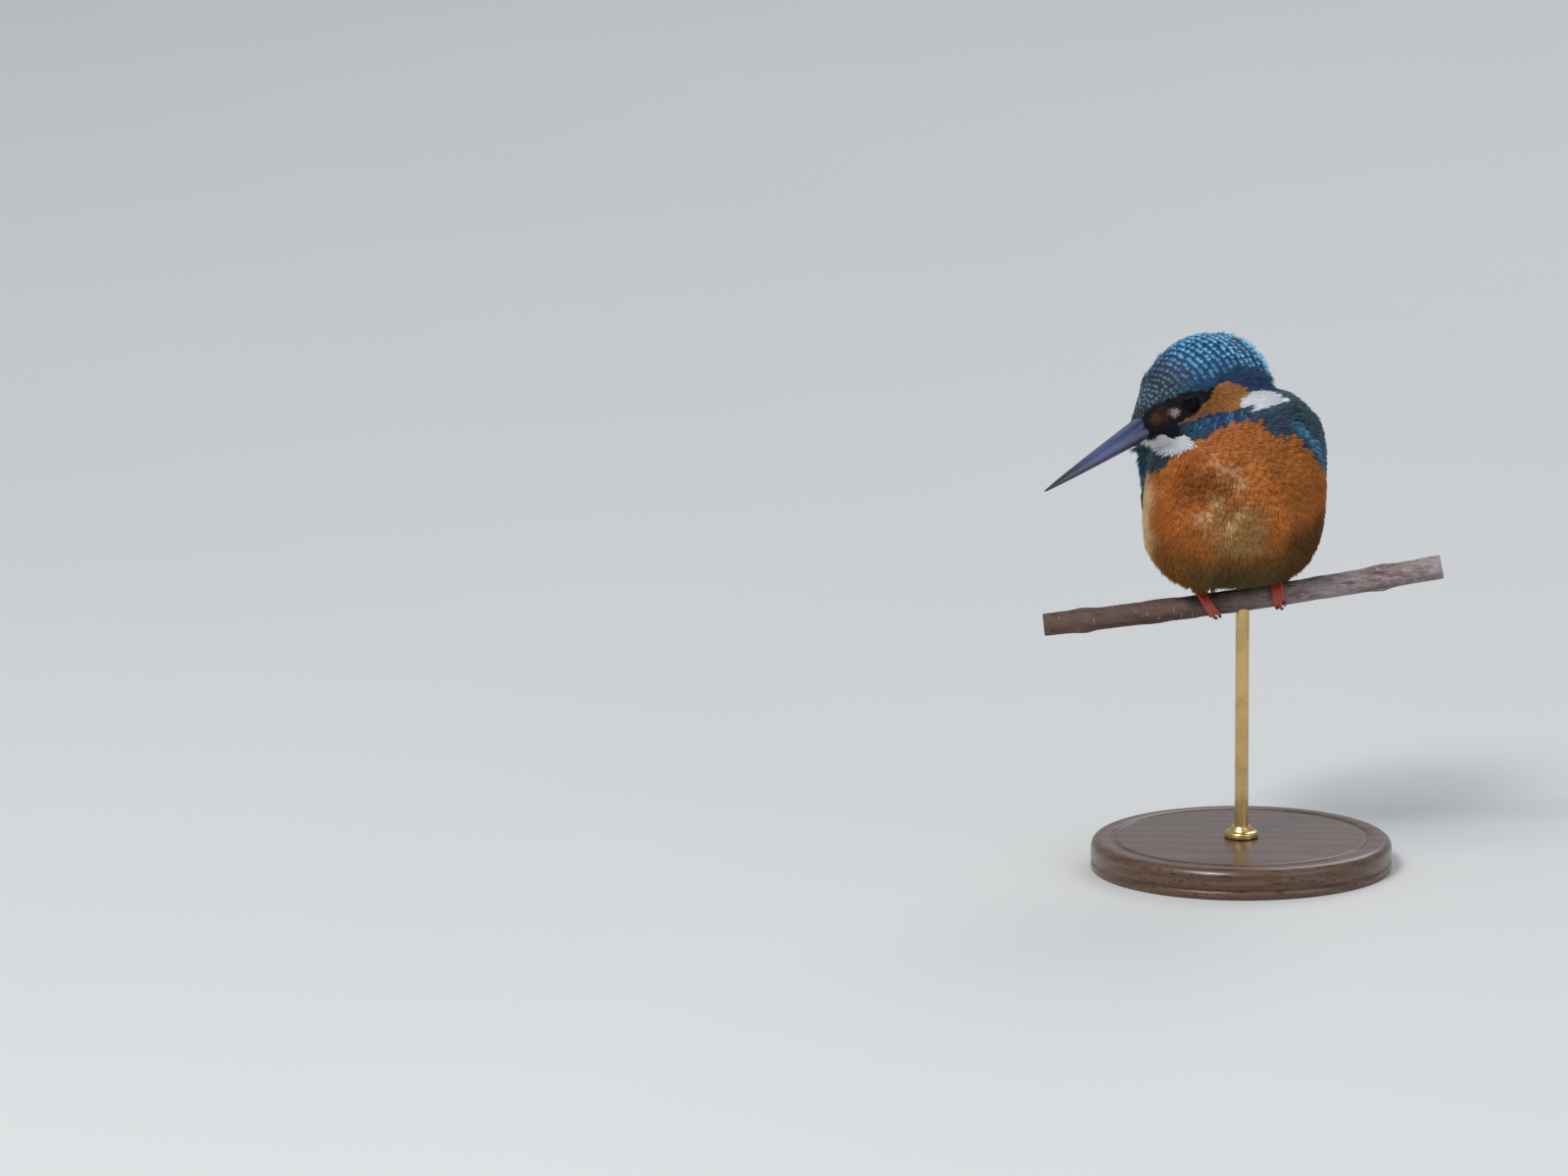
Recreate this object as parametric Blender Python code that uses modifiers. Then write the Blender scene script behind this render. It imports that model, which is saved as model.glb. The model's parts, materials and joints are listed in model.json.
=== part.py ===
"""A life-size common kingfisher that grips a cut length of branch, held up by a plain display stand.

The bird's trunk faces -Y and its left side is +X. It has turned its head to its own right and looks
down. Sizes are in millimetres and are turned to metres as each mesh is made. The bird is laid out from
the middle of the perch, between its feet, and the origin is the middle of the stand's underside.
"""

import math

import bmesh
import bpy
import numpy as np
from mathutils import Matrix, Vector

MM = 0.001
GAP = 0.3  # left between pieces that touch
HALF_GAP = GAP / 2

# Stand and perch
BASE_RADIUS = 44
BASE_THICKNESS = 9
BASE_EDGE = 2.5  # radius of the base's rounded rim
BASE_FOOT = 0.8  # chamfer under the base
ROD_RADIUS = 2
ROD_SEAT = 5  # depth of the rod's hole in the base
COLLAR_RADIUS = 5
COLLAR_HEIGHT = 3.2
COLLAR_WALL = 0.8  # thickness of the collar's upper edge
COLLAR_FLANGE = 0.9  # height of its flange
COLLAR_FILLET = (0.6, 0.3)  # in from the flange's edge, and up
PERCH_HEIGHT = 80  # middle of the perch over the floor
PERCH_HALF_LENGTH = 58
PERCH_RADIUS = 3.45
PERCH_SLOPE = 0.150
PERCH_BEND = 0.00036
PERCH_TAPER = 0.0022  # growth of the radius for each millimetre towards +X
PERCH_BUDS = ((-46, 0.55, 3.0), (-25, 0.25, 3.5), (40, 0.5, 3.2))  # place, height, half length

# Trunk: its axis leans back from the neck, and its sections stand square to that axis
TRUNK_PITCH = math.radians(51.7)
TRUNK_ROLL = math.radians(2.5)
TRUNK_SHIFT = 0.06  # drift of the sections to the left for each millimetre up the axis
TRUNK_MIDDLE = (-2.5, 3.5, 29.0)
# along the axis, back, belly (both from the axis, belly positive), half width
TRUNK_STATIONS = (
    (-43, -14.5, -11.0, 3.5),
    (-38, -17.5, -6.5, 9.5),
    (-32, -20.0, -0.5, 16.0),
    (-24, -22.4, 9.5, 22.4),
    (-15, -24.8, 20.0, 26.3),
    (-5, -26.2, 26.8, 27.2),
    (6, -27.0, 27.9, 27.3),
    (16, -26.5, 25.2, 26.6),
    (24, -24.0, 19.0, 24.8),
    (31, -18.0, 10.0, 19.5),
    (37, -8.0, 1.0, 9.0),
)
TRUNK_FULLNESS = 2.4  # exponent of the sections: 2 is an ellipse, more is squarer
TRUNK_RINGS = 34
TRUNK_SEGMENTS = 40

# Head, in its own frame: +X to the bill, +Y to the bird's left, +Z to the crown
HEAD_MIDDLE = (-18.2, -8.0, 61.4)
HEAD_TURN = math.radians(51.0)
HEAD_NOD = math.radians(20.0)
HEAD_TILT = math.radians(8.0)  # left side down
# along the head, chin, crown, half width
HEAD_STATIONS = (
    (-28.0, -10.0, 0.5, 5.0),
    (-25.0, -13.5, 6.2, 9.8),
    (-20.5, -15.0, 11.2, 13.3),
    (-14.5, -14.8, 14.2, 15.0),
    (-8.0, -14.0, 15.1, 15.0),
    (-2.0, -13.0, 14.4, 13.6),
    (4.0, -11.6, 12.2, 11.4),
    (9.0, -10.0, 9.2, 9.2),
    (12.5, -8.8, 6.2, 7.5),
    (15.5, -7.4, 3.9, 5.9),
    (18.0, -6.2, 2.0, 4.6),
)
HEAD_FULLNESS = 2.15
HEAD_RINGS = 24
HEAD_SEGMENTS = 32

# Neck: from a point of the trunk's frame to a point of the head's
NECK_LOW = (1.0, 2.5, 13.0)
NECK_HIGH = (-13.0, 0.0, -2.0)
NECK_RADII = (21.5, 17.5, 13.0)

# Where the head and the neck are parted from what carries them: a point of the cut and its direction,
# the first in the head's frame and the second in the trunk's
HEAD_CUT = ((14.0, 0.0, -9.4), (0.12, -0.05, 0.99))
NECK_CUT = ((0.0, 0.0, 24.0), (-0.15, 0.15, 0.97))
CUTTER_SIZE = 400  # edge of the blocks that part them

# How the body and the feet are blended: cell size, rounds of smoothing, share of the faces kept
BODY_BLEND = (1.5, 5, 0.097)
FOOT_BLEND = (0.36, 2, 0.12)

# Bill, in the head's frame
BILL_ROOT = 11.0
BILL_TIP = 55.5
BILL_LINE = -1.5  # height of the line where the bill closes, at the root
BILL_DROOP = 0.011  # fall of that line for each millimetre towards the tip
BILL_HALF_WIDTH = 4.1
UPPER_BILL_HEIGHT = 4.1
LOWER_BILL_HEIGHT = 3.7
BILL_TAPER = 0.80  # exponent: 1 is a straight cone
BILL_BLUNTNESS = 0.035  # share of the root's size that the tip keeps
BILL_RIDGE = 1.25  # exponent of the section: 1 is an ellipse, more is narrower along the ridge

# Eyes, in the head's frame
EYE_RADIUS = 3.15
EYE_PLACE = (3.9, 8.45, 3.5)

# Wings: they lie on the trunk's flanks and run on over the tail
WING_FRONT = 21.5
WING_LENGTH = 74.5
WING_BED = (
    (-56, -22.0, -12.5, 6.5),
    (-46, -20.8, -8.5, 10.5),
    (-36, -20.4, -3.5, 15.2),
    (-24, -22.6, 9.5, 22.4),
    (-15, -24.8, 20.0, 26.3),
    (-5, -26.2, 26.8, 27.2),
    (6, -27.0, 27.9, 27.3),
    (16, -26.5, 25.2, 26.6),
    (24, -24.0, 19.0, 24.8),
)
# share of the wing's length, upper edge and lower edge as degrees round the trunk from the back
WING_EDGES = (
    (0.00, 56, 68),
    (0.08, 44, 79),
    (0.22, 33, 82),
    (0.42, 25, 81),
    (0.62, 21, 77),
    (0.80, 20, 68),
    (0.92, 22, 52),
    (1.00, 26, 34),
)
WING_LIFT = 1.5
WING_DEPTH = 1.3  # how far the wing is let into the trunk
WING_RIM = 0.35
WING_STEPS = ((0.30, 0.35), (0.52, 0.30))  # share where a row of coverts ends, and its thickness

# Tail
TAIL_ROOT = (0.0, 9.5, -33.0)  # in the trunk's frame
TAIL_PITCH = math.radians(-30)
TAIL_LENGTH = 35.0
TAIL_HALF_WIDTHS = (5.5, 8.2)
TAIL_ARCH = 1.6
TAIL_THICKNESS = 1.4
TAIL_THINNING = 0.45  # share of the thickness lost at the end
TAIL_ROUNDING = 3.0
TAIL_FEATHERS = 10
TAIL_NOTCH = 0.5

# Feet
FOOT_SPREAD = 10.3
FOOT_RADIUS = 0.88
TOE_PITCH = 1.3
TOE_START = 100  # degrees round the perch: 0 is the front, 90 the top
# offset along the perch in toe pitches, last angle
FRONT_TOES = (
    ("inner", -1, -14),
    ("middle", 0, -46),
    ("outer", 1, -34),
)
HIND_TOE_END = 196
FRONT_SKEW = {1: 0.0, -1: 4.0}  # how far the front toes drift towards +X, by side
SKEW_PIVOT = 0.62  # share of the toe's length where that drift is nothing
TOE_STATIONS = 12
KNEE_BACK = 7.5
KNEE_HEIGHT = 12.0
SHANK_RADII = (1.3, 1.15, 1.1, 1.15, 1.4)
CLAW_SWEEP = 42
CLAW_START = 9  # degrees past the toe's last angle
CLAW_RADII = (0.5, 0.1)  # at the toe and at the point
CLAW_CLEARANCE = 0.12  # of the point over the bark

SIDES = {"left": 1, "right": -1}

# Colours (base colour, roughness)
FINISHES = {
    "rufous": ((0.52, 0.19, 0.045), 0.85),
    "blue": ((0.02, 0.16, 0.28), 0.6),
    "dark_horn": ((0.03, 0.03, 0.05), 0.3),
    "red_horn": ((0.55, 0.06, 0.02), 0.45),
    "eye": ((0.01, 0.008, 0.006), 0.05),
    "claw": ((0.05, 0.035, 0.03), 0.4),
    "bark": ((0.16, 0.11, 0.09), 0.9),
    "wood": ((0.24, 0.12, 0.06), 0.45),
    "brass": ((0.72, 0.52, 0.25), 0.3),
}


def smooth_curve(knots, values, at):
    """Values at `at` of a smooth curve through (knot, value) pairs."""
    knots = np.asarray(knots, float)
    values = np.asarray(values, float)
    slopes = np.gradient(values, knots)
    low = np.clip(np.searchsorted(knots, at) - 1, 0, len(knots) - 2)
    step = knots[low + 1] - knots[low]
    t = (at - knots[low]) / step
    return (
        (2 * t**3 - 3 * t**2 + 1) * values[low]
        + (t**3 - 2 * t**2 + t) * step * slopes[low]
        + (3 * t**2 - 2 * t**3) * values[low + 1]
        + (t**3 - t**2) * step * slopes[low + 1]
    )


def station_at(stations, at):
    """The sizes of a table of stations, read at one place along it."""
    columns = list(zip(*stations))
    return [float(smooth_curve(columns[0], column, at)) for column in columns[1:]]


def rounded_power(value, fullness):
    """A sine or cosine raised so that a circle becomes a fuller oval."""
    return math.copysign(abs(value) ** (2 / fullness), value)


# ---------------------------------------------------------------- making objects


def collection_named(name):
    """A collection in the scene."""
    made = bpy.data.collections.new(name)
    bpy.context.scene.collection.children.link(made)
    return made


def finish_of(name):
    """The material of one finish, made once."""
    material = bpy.data.materials.get(name)
    if material is None:
        (red, green, blue), roughness = FINISHES[name]
        material = bpy.data.materials.new(name)
        material.use_nodes = True
        shader = material.node_tree.nodes["Principled BSDF"]
        shader.inputs["Base Color"].default_value = (red, green, blue, 1)
        shader.inputs["Roughness"].default_value = roughness
        shader.inputs["Metallic"].default_value = 1.0 if name == "brass" else 0.0
    return material


def object_from(name, form, collection, finish=None):
    """An object of a bmesh given in millimetres, smooth but for its sharp edges."""
    bmesh.ops.recalc_face_normals(form, faces=form.faces)
    if form.calc_volume(signed=True) < 0:
        bmesh.ops.reverse_faces(form, faces=form.faces)
    bmesh.ops.scale(form, vec=(MM, MM, MM), verts=form.verts)
    mesh = bpy.data.meshes.new(name)
    form.to_mesh(mesh)
    form.free()
    mesh.shade_smooth()
    mesh.set_sharp_from_angle(angle=math.radians(40))
    made = bpy.data.objects.new(name, mesh)
    collection.objects.link(made)
    if finish:
        mesh.materials.append(finish_of(finish))
    return made


def loft(rings):
    """A closed bmesh through rings of equal count, capped at both ends."""
    form = bmesh.new()
    made = [[form.verts.new(point) for point in ring] for ring in rings]
    count = len(made[0])
    for ring, following in zip(made, made[1:]):
        for i in range(count):
            j = (i + 1) % count
            form.faces.new((ring[i], ring[j], following[j], following[i]))
    form.faces.new(made[0])
    form.faces.new(made[-1])
    return form


def slab(outer, inner):
    """A closed bmesh between two grids of points of the same size."""
    form = bmesh.new()
    rows, columns = len(outer), len(outer[0])
    sheets = [[[form.verts.new(p) for p in row] for row in grid] for grid in (outer, inner)]
    for sheet in sheets:
        for i in range(rows - 1):
            for j in range(columns - 1):
                form.faces.new((sheet[i][j], sheet[i + 1][j], sheet[i + 1][j + 1], sheet[i][j + 1]))
    rim = [(i, 0) for i in range(rows)]
    rim += [(rows - 1, j) for j in range(1, columns)]
    rim += [(i, columns - 1) for i in range(rows - 2, -1, -1)]
    rim += [(0, j) for j in range(columns - 2, 0, -1)]
    for (i, j), (k, m) in zip(rim, rim[1:] + rim[:1]):
        form.faces.new((sheets[0][i][j], sheets[0][k][m], sheets[1][k][m], sheets[1][i][j]))
    return form


def tube(path, radii, resolution):
    """A closed bmesh swept along a path, with a radius for each of its points."""
    curve = bpy.data.curves.new("tube", "CURVE")
    curve.dimensions = "3D"
    curve.bevel_depth = 1
    curve.bevel_resolution = resolution
    curve.use_fill_caps = True
    spline = curve.splines.new("POLY")
    spline.points.add(len(path) - 1)
    for point, place, radius in zip(spline.points, path, radii):
        point.co = (*place, 1)
        point.radius = radius
    holder = bpy.data.objects.new("tube", curve)
    mesh = bpy.data.meshes.new_from_object(holder)
    form = bmesh.new()
    form.from_mesh(mesh)
    bmesh.ops.remove_doubles(form, verts=form.verts, dist=0.001)
    bpy.data.objects.remove(holder)
    bpy.data.meshes.remove(mesh)
    return form


def joined(forms):
    """One bmesh that holds several."""
    whole = bmesh.new()
    for form in forms:
        part = bpy.data.meshes.new("part")
        form.to_mesh(part)
        form.free()
        whole.from_mesh(part)
        bpy.data.meshes.remove(part)
    return whole


def blended(name, forms, collection, finish, blend):
    """An object that runs overlapping closed forms into one flowing surface."""
    voxel, rounds, share = blend
    made = object_from(name, joined(forms), collection, finish)
    remesh = made.modifiers.new("blend", "REMESH")
    remesh.mode = "VOXEL"
    remesh.voxel_size = voxel * MM
    soften = made.modifiers.new("soften", "SMOOTH")
    soften.iterations = rounds
    soften.factor = 0.5
    thin = made.modifiers.new("thin", "DECIMATE")
    thin.ratio = share
    bpy.context.view_layer.update()
    settled = made.evaluated_get(bpy.context.evaluated_depsgraph_get())
    mesh = bpy.data.meshes.new_from_object(settled)
    made.modifiers.clear()
    made.data = mesh
    mesh.shade_smooth()
    return made


def as_cutter(made, cutters):
    """Turns an object into a helper that is neither shown nor kept as a node."""
    for owner in list(made.users_collection):
        owner.objects.unlink(made)
    cutters.objects.link(made)
    made.hide_render = True
    made.display_type = "WIRE"
    return made


def grown_copy(source, cutters):
    """A cutter one gap larger than an object all round."""
    copy = source.copy()
    copy.data = source.data.copy()
    copy.name = source.name + "_clearance"
    swell = copy.modifiers.new("gap", "DISPLACE")
    swell.mid_level = 0
    swell.strength = GAP * MM
    return as_cutter(copy, cutters)


def boolean(target, tool, operation):
    """Adds a live Boolean to an object."""
    modifier = target.modifiers.new(operation.lower(), "BOOLEAN")
    modifier.operation = operation
    modifier.solver = "EXACT"
    modifier.object = tool


# ---------------------------------------------------------------- frames


def at_perch(x, y, z):
    """A point given from the middle of the perch, in the object's frame."""
    return Vector((x, y, z + PERCH_HEIGHT))


def trunk_frame():
    """The trunk's frame: X to the bird's left, Y to the back, Z up the axis to the neck."""
    up = Vector((0, -math.cos(TRUNK_PITCH), math.sin(TRUNK_PITCH)))
    left = Vector((1, 0, 0))
    lean = Matrix.Rotation(-TRUNK_ROLL, 4, "Y")
    turn = Matrix((left, up.cross(left), up)).transposed().to_4x4()
    return Matrix.Translation(at_perch(*TRUNK_MIDDLE)) @ lean @ turn


def head_frame():
    """The head's frame: X to the bill, Y to the bird's left, Z to the crown."""
    forward = Vector(
        (
            -math.sin(HEAD_TURN) * math.cos(HEAD_NOD),
            -math.cos(HEAD_TURN) * math.cos(HEAD_NOD),
            -math.sin(HEAD_NOD),
        )
    )
    left = Vector((math.cos(HEAD_TURN), -math.sin(HEAD_TURN), 0))
    up = forward.cross(left)
    tilted = left * math.cos(HEAD_TILT) - up * math.sin(HEAD_TILT)
    turn = Matrix((forward, tilted, forward.cross(tilted))).transposed().to_4x4()
    return Matrix.Translation(at_perch(*HEAD_MIDDLE)) @ turn


def scaled(frame):
    """A frame given in millimetres, with its place in metres."""
    return Matrix.Translation(frame.translation * MM) @ frame.to_3x3().to_4x4()


def round_trunk(stations, along, degrees, lift=0.0):
    """A point on the trunk's surface: degrees from the back to the left flank, the belly and round."""
    back, belly, half_width = station_at(stations, along)
    angle = math.radians(degrees)
    across = rounded_power(math.sin(angle), TRUNK_FULLNESS)
    outwards = rounded_power(math.cos(angle), TRUNK_FULLNESS)
    half_depth = (belly - back) / 2
    middle = (belly + back) / 2
    local = Vector(
        (
            TRUNK_SHIFT * along + (half_width + lift) * across,
            -middle + (half_depth + lift) * outwards,
            along,
        )
    )
    return trunk_frame() @ local


# ---------------------------------------------------------------- the bird


def trunk_form():
    """The trunk, from the tail's root to inside the neck."""
    first, last = TRUNK_STATIONS[0][0], TRUNK_STATIONS[-1][0]
    rings = [
        [round_trunk(TRUNK_STATIONS, along, 360 * k / TRUNK_SEGMENTS) for k in range(TRUNK_SEGMENTS)]
        for along in np.linspace(first, last, TRUNK_RINGS)
    ]
    return loft(rings)


def head_form():
    """The head without its bill."""
    frame = head_frame()
    rings = []
    for along in np.linspace(HEAD_STATIONS[0][0], HEAD_STATIONS[-1][0], HEAD_RINGS):
        chin, crown, half_width = station_at(HEAD_STATIONS, along)
        middle, half_height = (crown + chin) / 2, (crown - chin) / 2
        ring = []
        for k in range(HEAD_SEGMENTS):
            angle = math.tau * k / HEAD_SEGMENTS
            across = half_width * rounded_power(math.sin(angle), HEAD_FULLNESS)
            height = middle + half_height * rounded_power(math.cos(angle), HEAD_FULLNESS)
            ring.append(frame @ Vector((along, across, height)))
        rings.append(ring)
    return loft(rings)


def neck_form():
    """The short neck that the head sits on."""
    low = trunk_frame() @ Vector(NECK_LOW)
    high = head_frame() @ Vector(NECK_HIGH)
    steps = np.linspace(0, 1, 8)
    path = [low.lerp(high, t) for t in steps]
    radii = [smooth_curve((0, 0.5, 1), NECK_RADII, t) for t in steps]
    return tube(path, radii, resolution=8)


def half_space(name, point, normal, cutters):
    """A large block whose one face lies on a plane, on the side that the normal points to."""
    form = bmesh.new()
    bmesh.ops.create_cube(form, size=CUTTER_SIZE)
    bmesh.ops.translate(form, vec=(0, 0, CUTTER_SIZE / 2), verts=form.verts)
    turn = Vector(normal).to_track_quat("Z", "Y").to_matrix().to_4x4()
    bmesh.ops.transform(form, matrix=Matrix.Translation(point) @ turn, verts=form.verts)
    return as_cutter(object_from(name, form, cutters), cutters)


def make_body(parts, cutters):
    """Trunk, neck and head, modelled whole and parted by two thin cuts."""
    forms = [trunk_form(), neck_form(), head_form()]
    whole = blended("trunk", forms, parts, "rufous", BODY_BLEND)
    head = head_frame()
    trunk = trunk_frame()
    head_cut = head @ Vector(HEAD_CUT[0])
    head_way = (head.to_3x3() @ Vector(HEAD_CUT[1])).normalized()
    neck_cut = trunk @ Vector(NECK_CUT[0])
    neck_way = (trunk.to_3x3() @ Vector(NECK_CUT[1])).normalized()
    pieces = {"trunk": whole}
    for name, finish in (("neck", "rufous"), ("head", "blue")):
        pieces[name] = whole.copy()
        pieces[name].name = name
        pieces[name].data = whole.data.copy()
        pieces[name].data.materials[0] = finish_of(finish)
        parts.objects.link(pieces[name])
    planes = {
        "head": [("above_throat", head_cut + head_way * HALF_GAP, head_way)],
        "neck": [
            ("below_throat", head_cut - head_way * HALF_GAP, -head_way),
            ("above_shoulders", neck_cut + neck_way * HALF_GAP, neck_way),
        ],
        "trunk": [("below_shoulders", neck_cut - neck_way * HALF_GAP, -neck_way)],
    }
    for name, cuts in planes.items():
        for cut_name, point, normal in cuts:
            boolean(pieces[name], half_space(cut_name, point, normal, cutters), "INTERSECT")
    return pieces


def bill_half(height, direction):
    """One half of the bill in the head's frame: a blade with a rounded ridge that tapers to a point."""
    rings = []
    for t in np.linspace(0, 1, 9):
        along = BILL_ROOT + (BILL_TIP - BILL_ROOT) * t
        taper = (1 - t) ** BILL_TAPER * (1 - BILL_BLUNTNESS) + BILL_BLUNTNESS
        line = BILL_LINE - BILL_DROOP * (along - BILL_ROOT) + direction * HALF_GAP
        half_width = BILL_HALF_WIDTH * taper
        ring = []
        for k in range(10):
            angle = math.pi * k / 9
            across = half_width * math.cos(angle)
            out = height * taper * math.sin(angle) ** BILL_RIDGE
            ring.append(Vector((along, across, line + direction * out)))
        rings.append(ring)
    return loft(rings)


def make_bill(parts, pivot):
    """Upper and lower bill, carried by the head's frame."""
    made = {}
    for name, height, direction in (
        ("bill_upper", UPPER_BILL_HEIGHT, 1),
        ("bill_lower", LOWER_BILL_HEIGHT, -1),
    ):
        form = bill_half(height, direction)
        made[name] = object_from(name, form, parts, "dark_horn")
        made[name].parent = pivot
    return made


def make_eyes(parts, pivot):
    """Two eyes, carried by the head's frame."""
    made = {}
    for side, sign in SIDES.items():
        form = bmesh.new()
        bmesh.ops.create_uvsphere(form, u_segments=14, v_segments=9, radius=EYE_RADIUS)
        eye = object_from(f"eye_{side}", form, parts, "eye")
        x, y, z = EYE_PLACE
        eye.location = Vector((x, sign * y, z)) * MM
        eye.parent = pivot
        made[side] = eye
    return made


def wing_point(share, across, lift):
    """A point of the left wing: share from its bend to its tip, across from its upper to its lower edge."""
    upper, lower = station_at(WING_EDGES, share)
    degrees = upper + (lower - upper) * across
    return round_trunk(WING_BED, WING_FRONT - WING_LENGTH * share, degrees, lift)


def make_wing(side, parts):
    """A folded wing: three steps of feathers, from the coverts to the flight feathers' tips."""
    sign = SIDES[side]
    outer, inner = [], []
    for share in np.linspace(0, 1, 18):
        step = sum(height for end, height in WING_STEPS if share < end)
        top, low = [], []
        for across in np.linspace(0, 1, 7):
            swell = math.sin(math.pi * across) ** 0.7 * math.sin(math.pi * (0.08 + 0.84 * share)) ** 0.5
            top.append(wing_point(share, across, WING_RIM + (WING_LIFT + step - WING_RIM) * swell))
            low.append(wing_point(share, across, -WING_RIM - (WING_DEPTH - WING_RIM) * swell))
        outer.append(top)
        inner.append(low)
    form = slab(outer, inner)
    if sign < 0:
        frame = trunk_frame()
        mirror = frame @ Matrix.Diagonal((-1, 1, 1, 1)) @ frame.inverted()
        bmesh.ops.transform(form, matrix=mirror, verts=form.verts)
    return object_from(f"wing_{side}", form, parts, "blue")


def make_tail(parts):
    """The short tail: a shallow roof of feathers with a notched, rounded end."""
    lean = Matrix.Rotation(-TRUNK_ROLL, 3, "Y")
    back = lean @ Vector((0, math.cos(TAIL_PITCH), math.sin(TAIL_PITCH)))
    up = lean @ Vector((0, -math.sin(TAIL_PITCH), math.cos(TAIL_PITCH)))
    left = lean @ Vector((1, 0, 0))
    root = trunk_frame() @ Vector(TAIL_ROOT)
    grids = []
    for sign in (1, -1):
        grid = []
        for t in np.linspace(0, 1, 6):
            row = []
            for k in range(2 * TAIL_FEATHERS + 1):
                across = k / TAIL_FEATHERS - 1
                narrow, wide = TAIL_HALF_WIDTHS
                x = across * (narrow + (wide - narrow) * t)
                notch = TAIL_NOTCH * (k % 2 == 0)
                length = TAIL_LENGTH - TAIL_ROUNDING * across**2 - notch
                half = TAIL_THICKNESS / 2 * (1 - TAIL_THINNING * t)
                height = TAIL_ARCH * (1 - across**2) + sign * half
                row.append(root + back * (length * t) + up * height + left * x)
            grid.append(row)
        grids.append(grid)
    return object_from("tail", slab(*grids), parts, "blue")


def perch_centre(x):
    """A point of the perch's middle line."""
    return at_perch(x, 0, PERCH_SLOPE * x + PERCH_BEND * x * x)


def perch_radius(x):
    """The perch's radius: it swells gently at three old buds, clear of the feet."""
    swell = sum(height * math.exp(-(((x - at) / width) ** 2)) for at, height, width in PERCH_BUDS)
    return PERCH_RADIUS + swell + PERCH_TAPER * x


def make_perch(parts, cutters):
    """A cut length of branch, drilled from below for the rod."""
    places = np.linspace(-PERCH_HALF_LENGTH, PERCH_HALF_LENGTH, 25)
    form = tube([perch_centre(x) for x in places], [perch_radius(x) for x in places], resolution=4)
    perch = object_from("perch", form, parts, "bark")
    drill = cylinder("rod_hole_in_perch", ROD_RADIUS + GAP, PERCH_HEIGHT / 2, PERCH_HEIGHT, cutters)
    boolean(perch, as_cutter(drill, cutters), "DIFFERENCE")
    return perch


def cylinder(name, radius, low, high, collection, finish=None):
    """An upright cylinder on the stand's axis."""
    form = bmesh.new()
    bmesh.ops.create_cone(
        form, cap_ends=True, segments=24, radius1=radius, radius2=radius, depth=high - low
    )
    bmesh.ops.translate(form, vec=(0, 0, (low + high) / 2), verts=form.verts)
    return object_from(name, form, collection, finish)


def turned(name, profile, parts, finish, steps, ring=False):
    """A turned object, from a profile of (radius, height) that runs down its outer side."""
    mesh = bpy.data.meshes.new(name)
    points = [(radius * MM, 0, height * MM) for radius, height in profile]
    edges = [(i, i + 1) for i in range(len(points) - 1)]
    if ring:
        edges.append((len(points) - 1, 0))
    mesh.from_pydata(points, edges, [])
    mesh.materials.append(finish_of(finish))
    made = bpy.data.objects.new(name, mesh)
    parts.objects.link(made)
    screw = made.modifiers.new("turn", "SCREW")
    screw.steps = screw.render_steps = steps
    screw.use_merge_vertices = True
    screw.merge_threshold = 0.00005
    return made


def make_stand(parts, cutters):
    """A flat round base, a rod up into the perch and a collar where they meet."""
    corner = [math.radians(a) for a in (90, 60, 30, 0)]
    rim = [
        (
            BASE_RADIUS - BASE_EDGE + BASE_EDGE * math.cos(a),
            BASE_THICKNESS - BASE_EDGE + BASE_EDGE * math.sin(a),
        )
        for a in corner
    ]
    foot = [(BASE_RADIUS, BASE_FOOT), (BASE_RADIUS - BASE_FOOT, 0)]
    profile = [(0, BASE_THICKNESS), *rim, *foot, (0, 0)]
    base = turned("stand_base", profile, parts, "wood", steps=34)
    seat = cylinder(
        "rod_hole_in_base", ROD_RADIUS + GAP, BASE_THICKNESS - ROD_SEAT, 2 * BASE_THICKNESS, cutters
    )
    boolean(base, as_cutter(seat, cutters), "DIFFERENCE")
    cylinder(
        "stand_rod",
        ROD_RADIUS,
        BASE_THICKNESS - ROD_SEAT + GAP,
        PERCH_HEIGHT - GAP,
        parts,
        "brass",
    )
    bottom = BASE_THICKNESS + GAP
    inside = ROD_RADIUS + GAP
    fillet_in, fillet_up = COLLAR_FILLET
    collar = [
        (inside, bottom + COLLAR_HEIGHT),
        (inside + COLLAR_WALL, bottom + COLLAR_HEIGHT),
        (COLLAR_RADIUS - fillet_in, bottom + COLLAR_FLANGE + fillet_up),
        (COLLAR_RADIUS, bottom + COLLAR_FLANGE),
        (COLLAR_RADIUS, bottom),
        (inside, bottom),
    ]
    turned("stand_collar", collar, parts, "brass", steps=16, ring=True)


def grip_point(x, degrees, out):
    """A point over the perch's bark: degrees round the perch, 0 in front and 90 on top."""
    slope = math.atan(PERCH_SLOPE + 2 * PERCH_BEND * x)
    up = Vector((-math.sin(slope), 0, math.cos(slope)))
    angle = math.radians(degrees)
    radius = perch_radius(x) + GAP + out
    return perch_centre(x) + Vector((0, -math.cos(angle), 0)) * radius + up * (math.sin(angle) * radius)


def toe_path(side, offset, end):
    """The middle line of a toe, as it wraps the perch from its start to its last angle."""
    sign = SIDES[side]
    path = []
    for t in np.linspace(0, 1, TOE_STATIONS):
        x = sign * (FOOT_SPREAD - offset * TOE_PITCH * (0.45 + 0.55 * t))
        if end < TOE_START:
            x += FRONT_SKEW[sign] * (t - SKEW_PIVOT)
        path.append(grip_point(x, TOE_START + (end - TOE_START) * t, FOOT_RADIUS))
    return path


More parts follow.
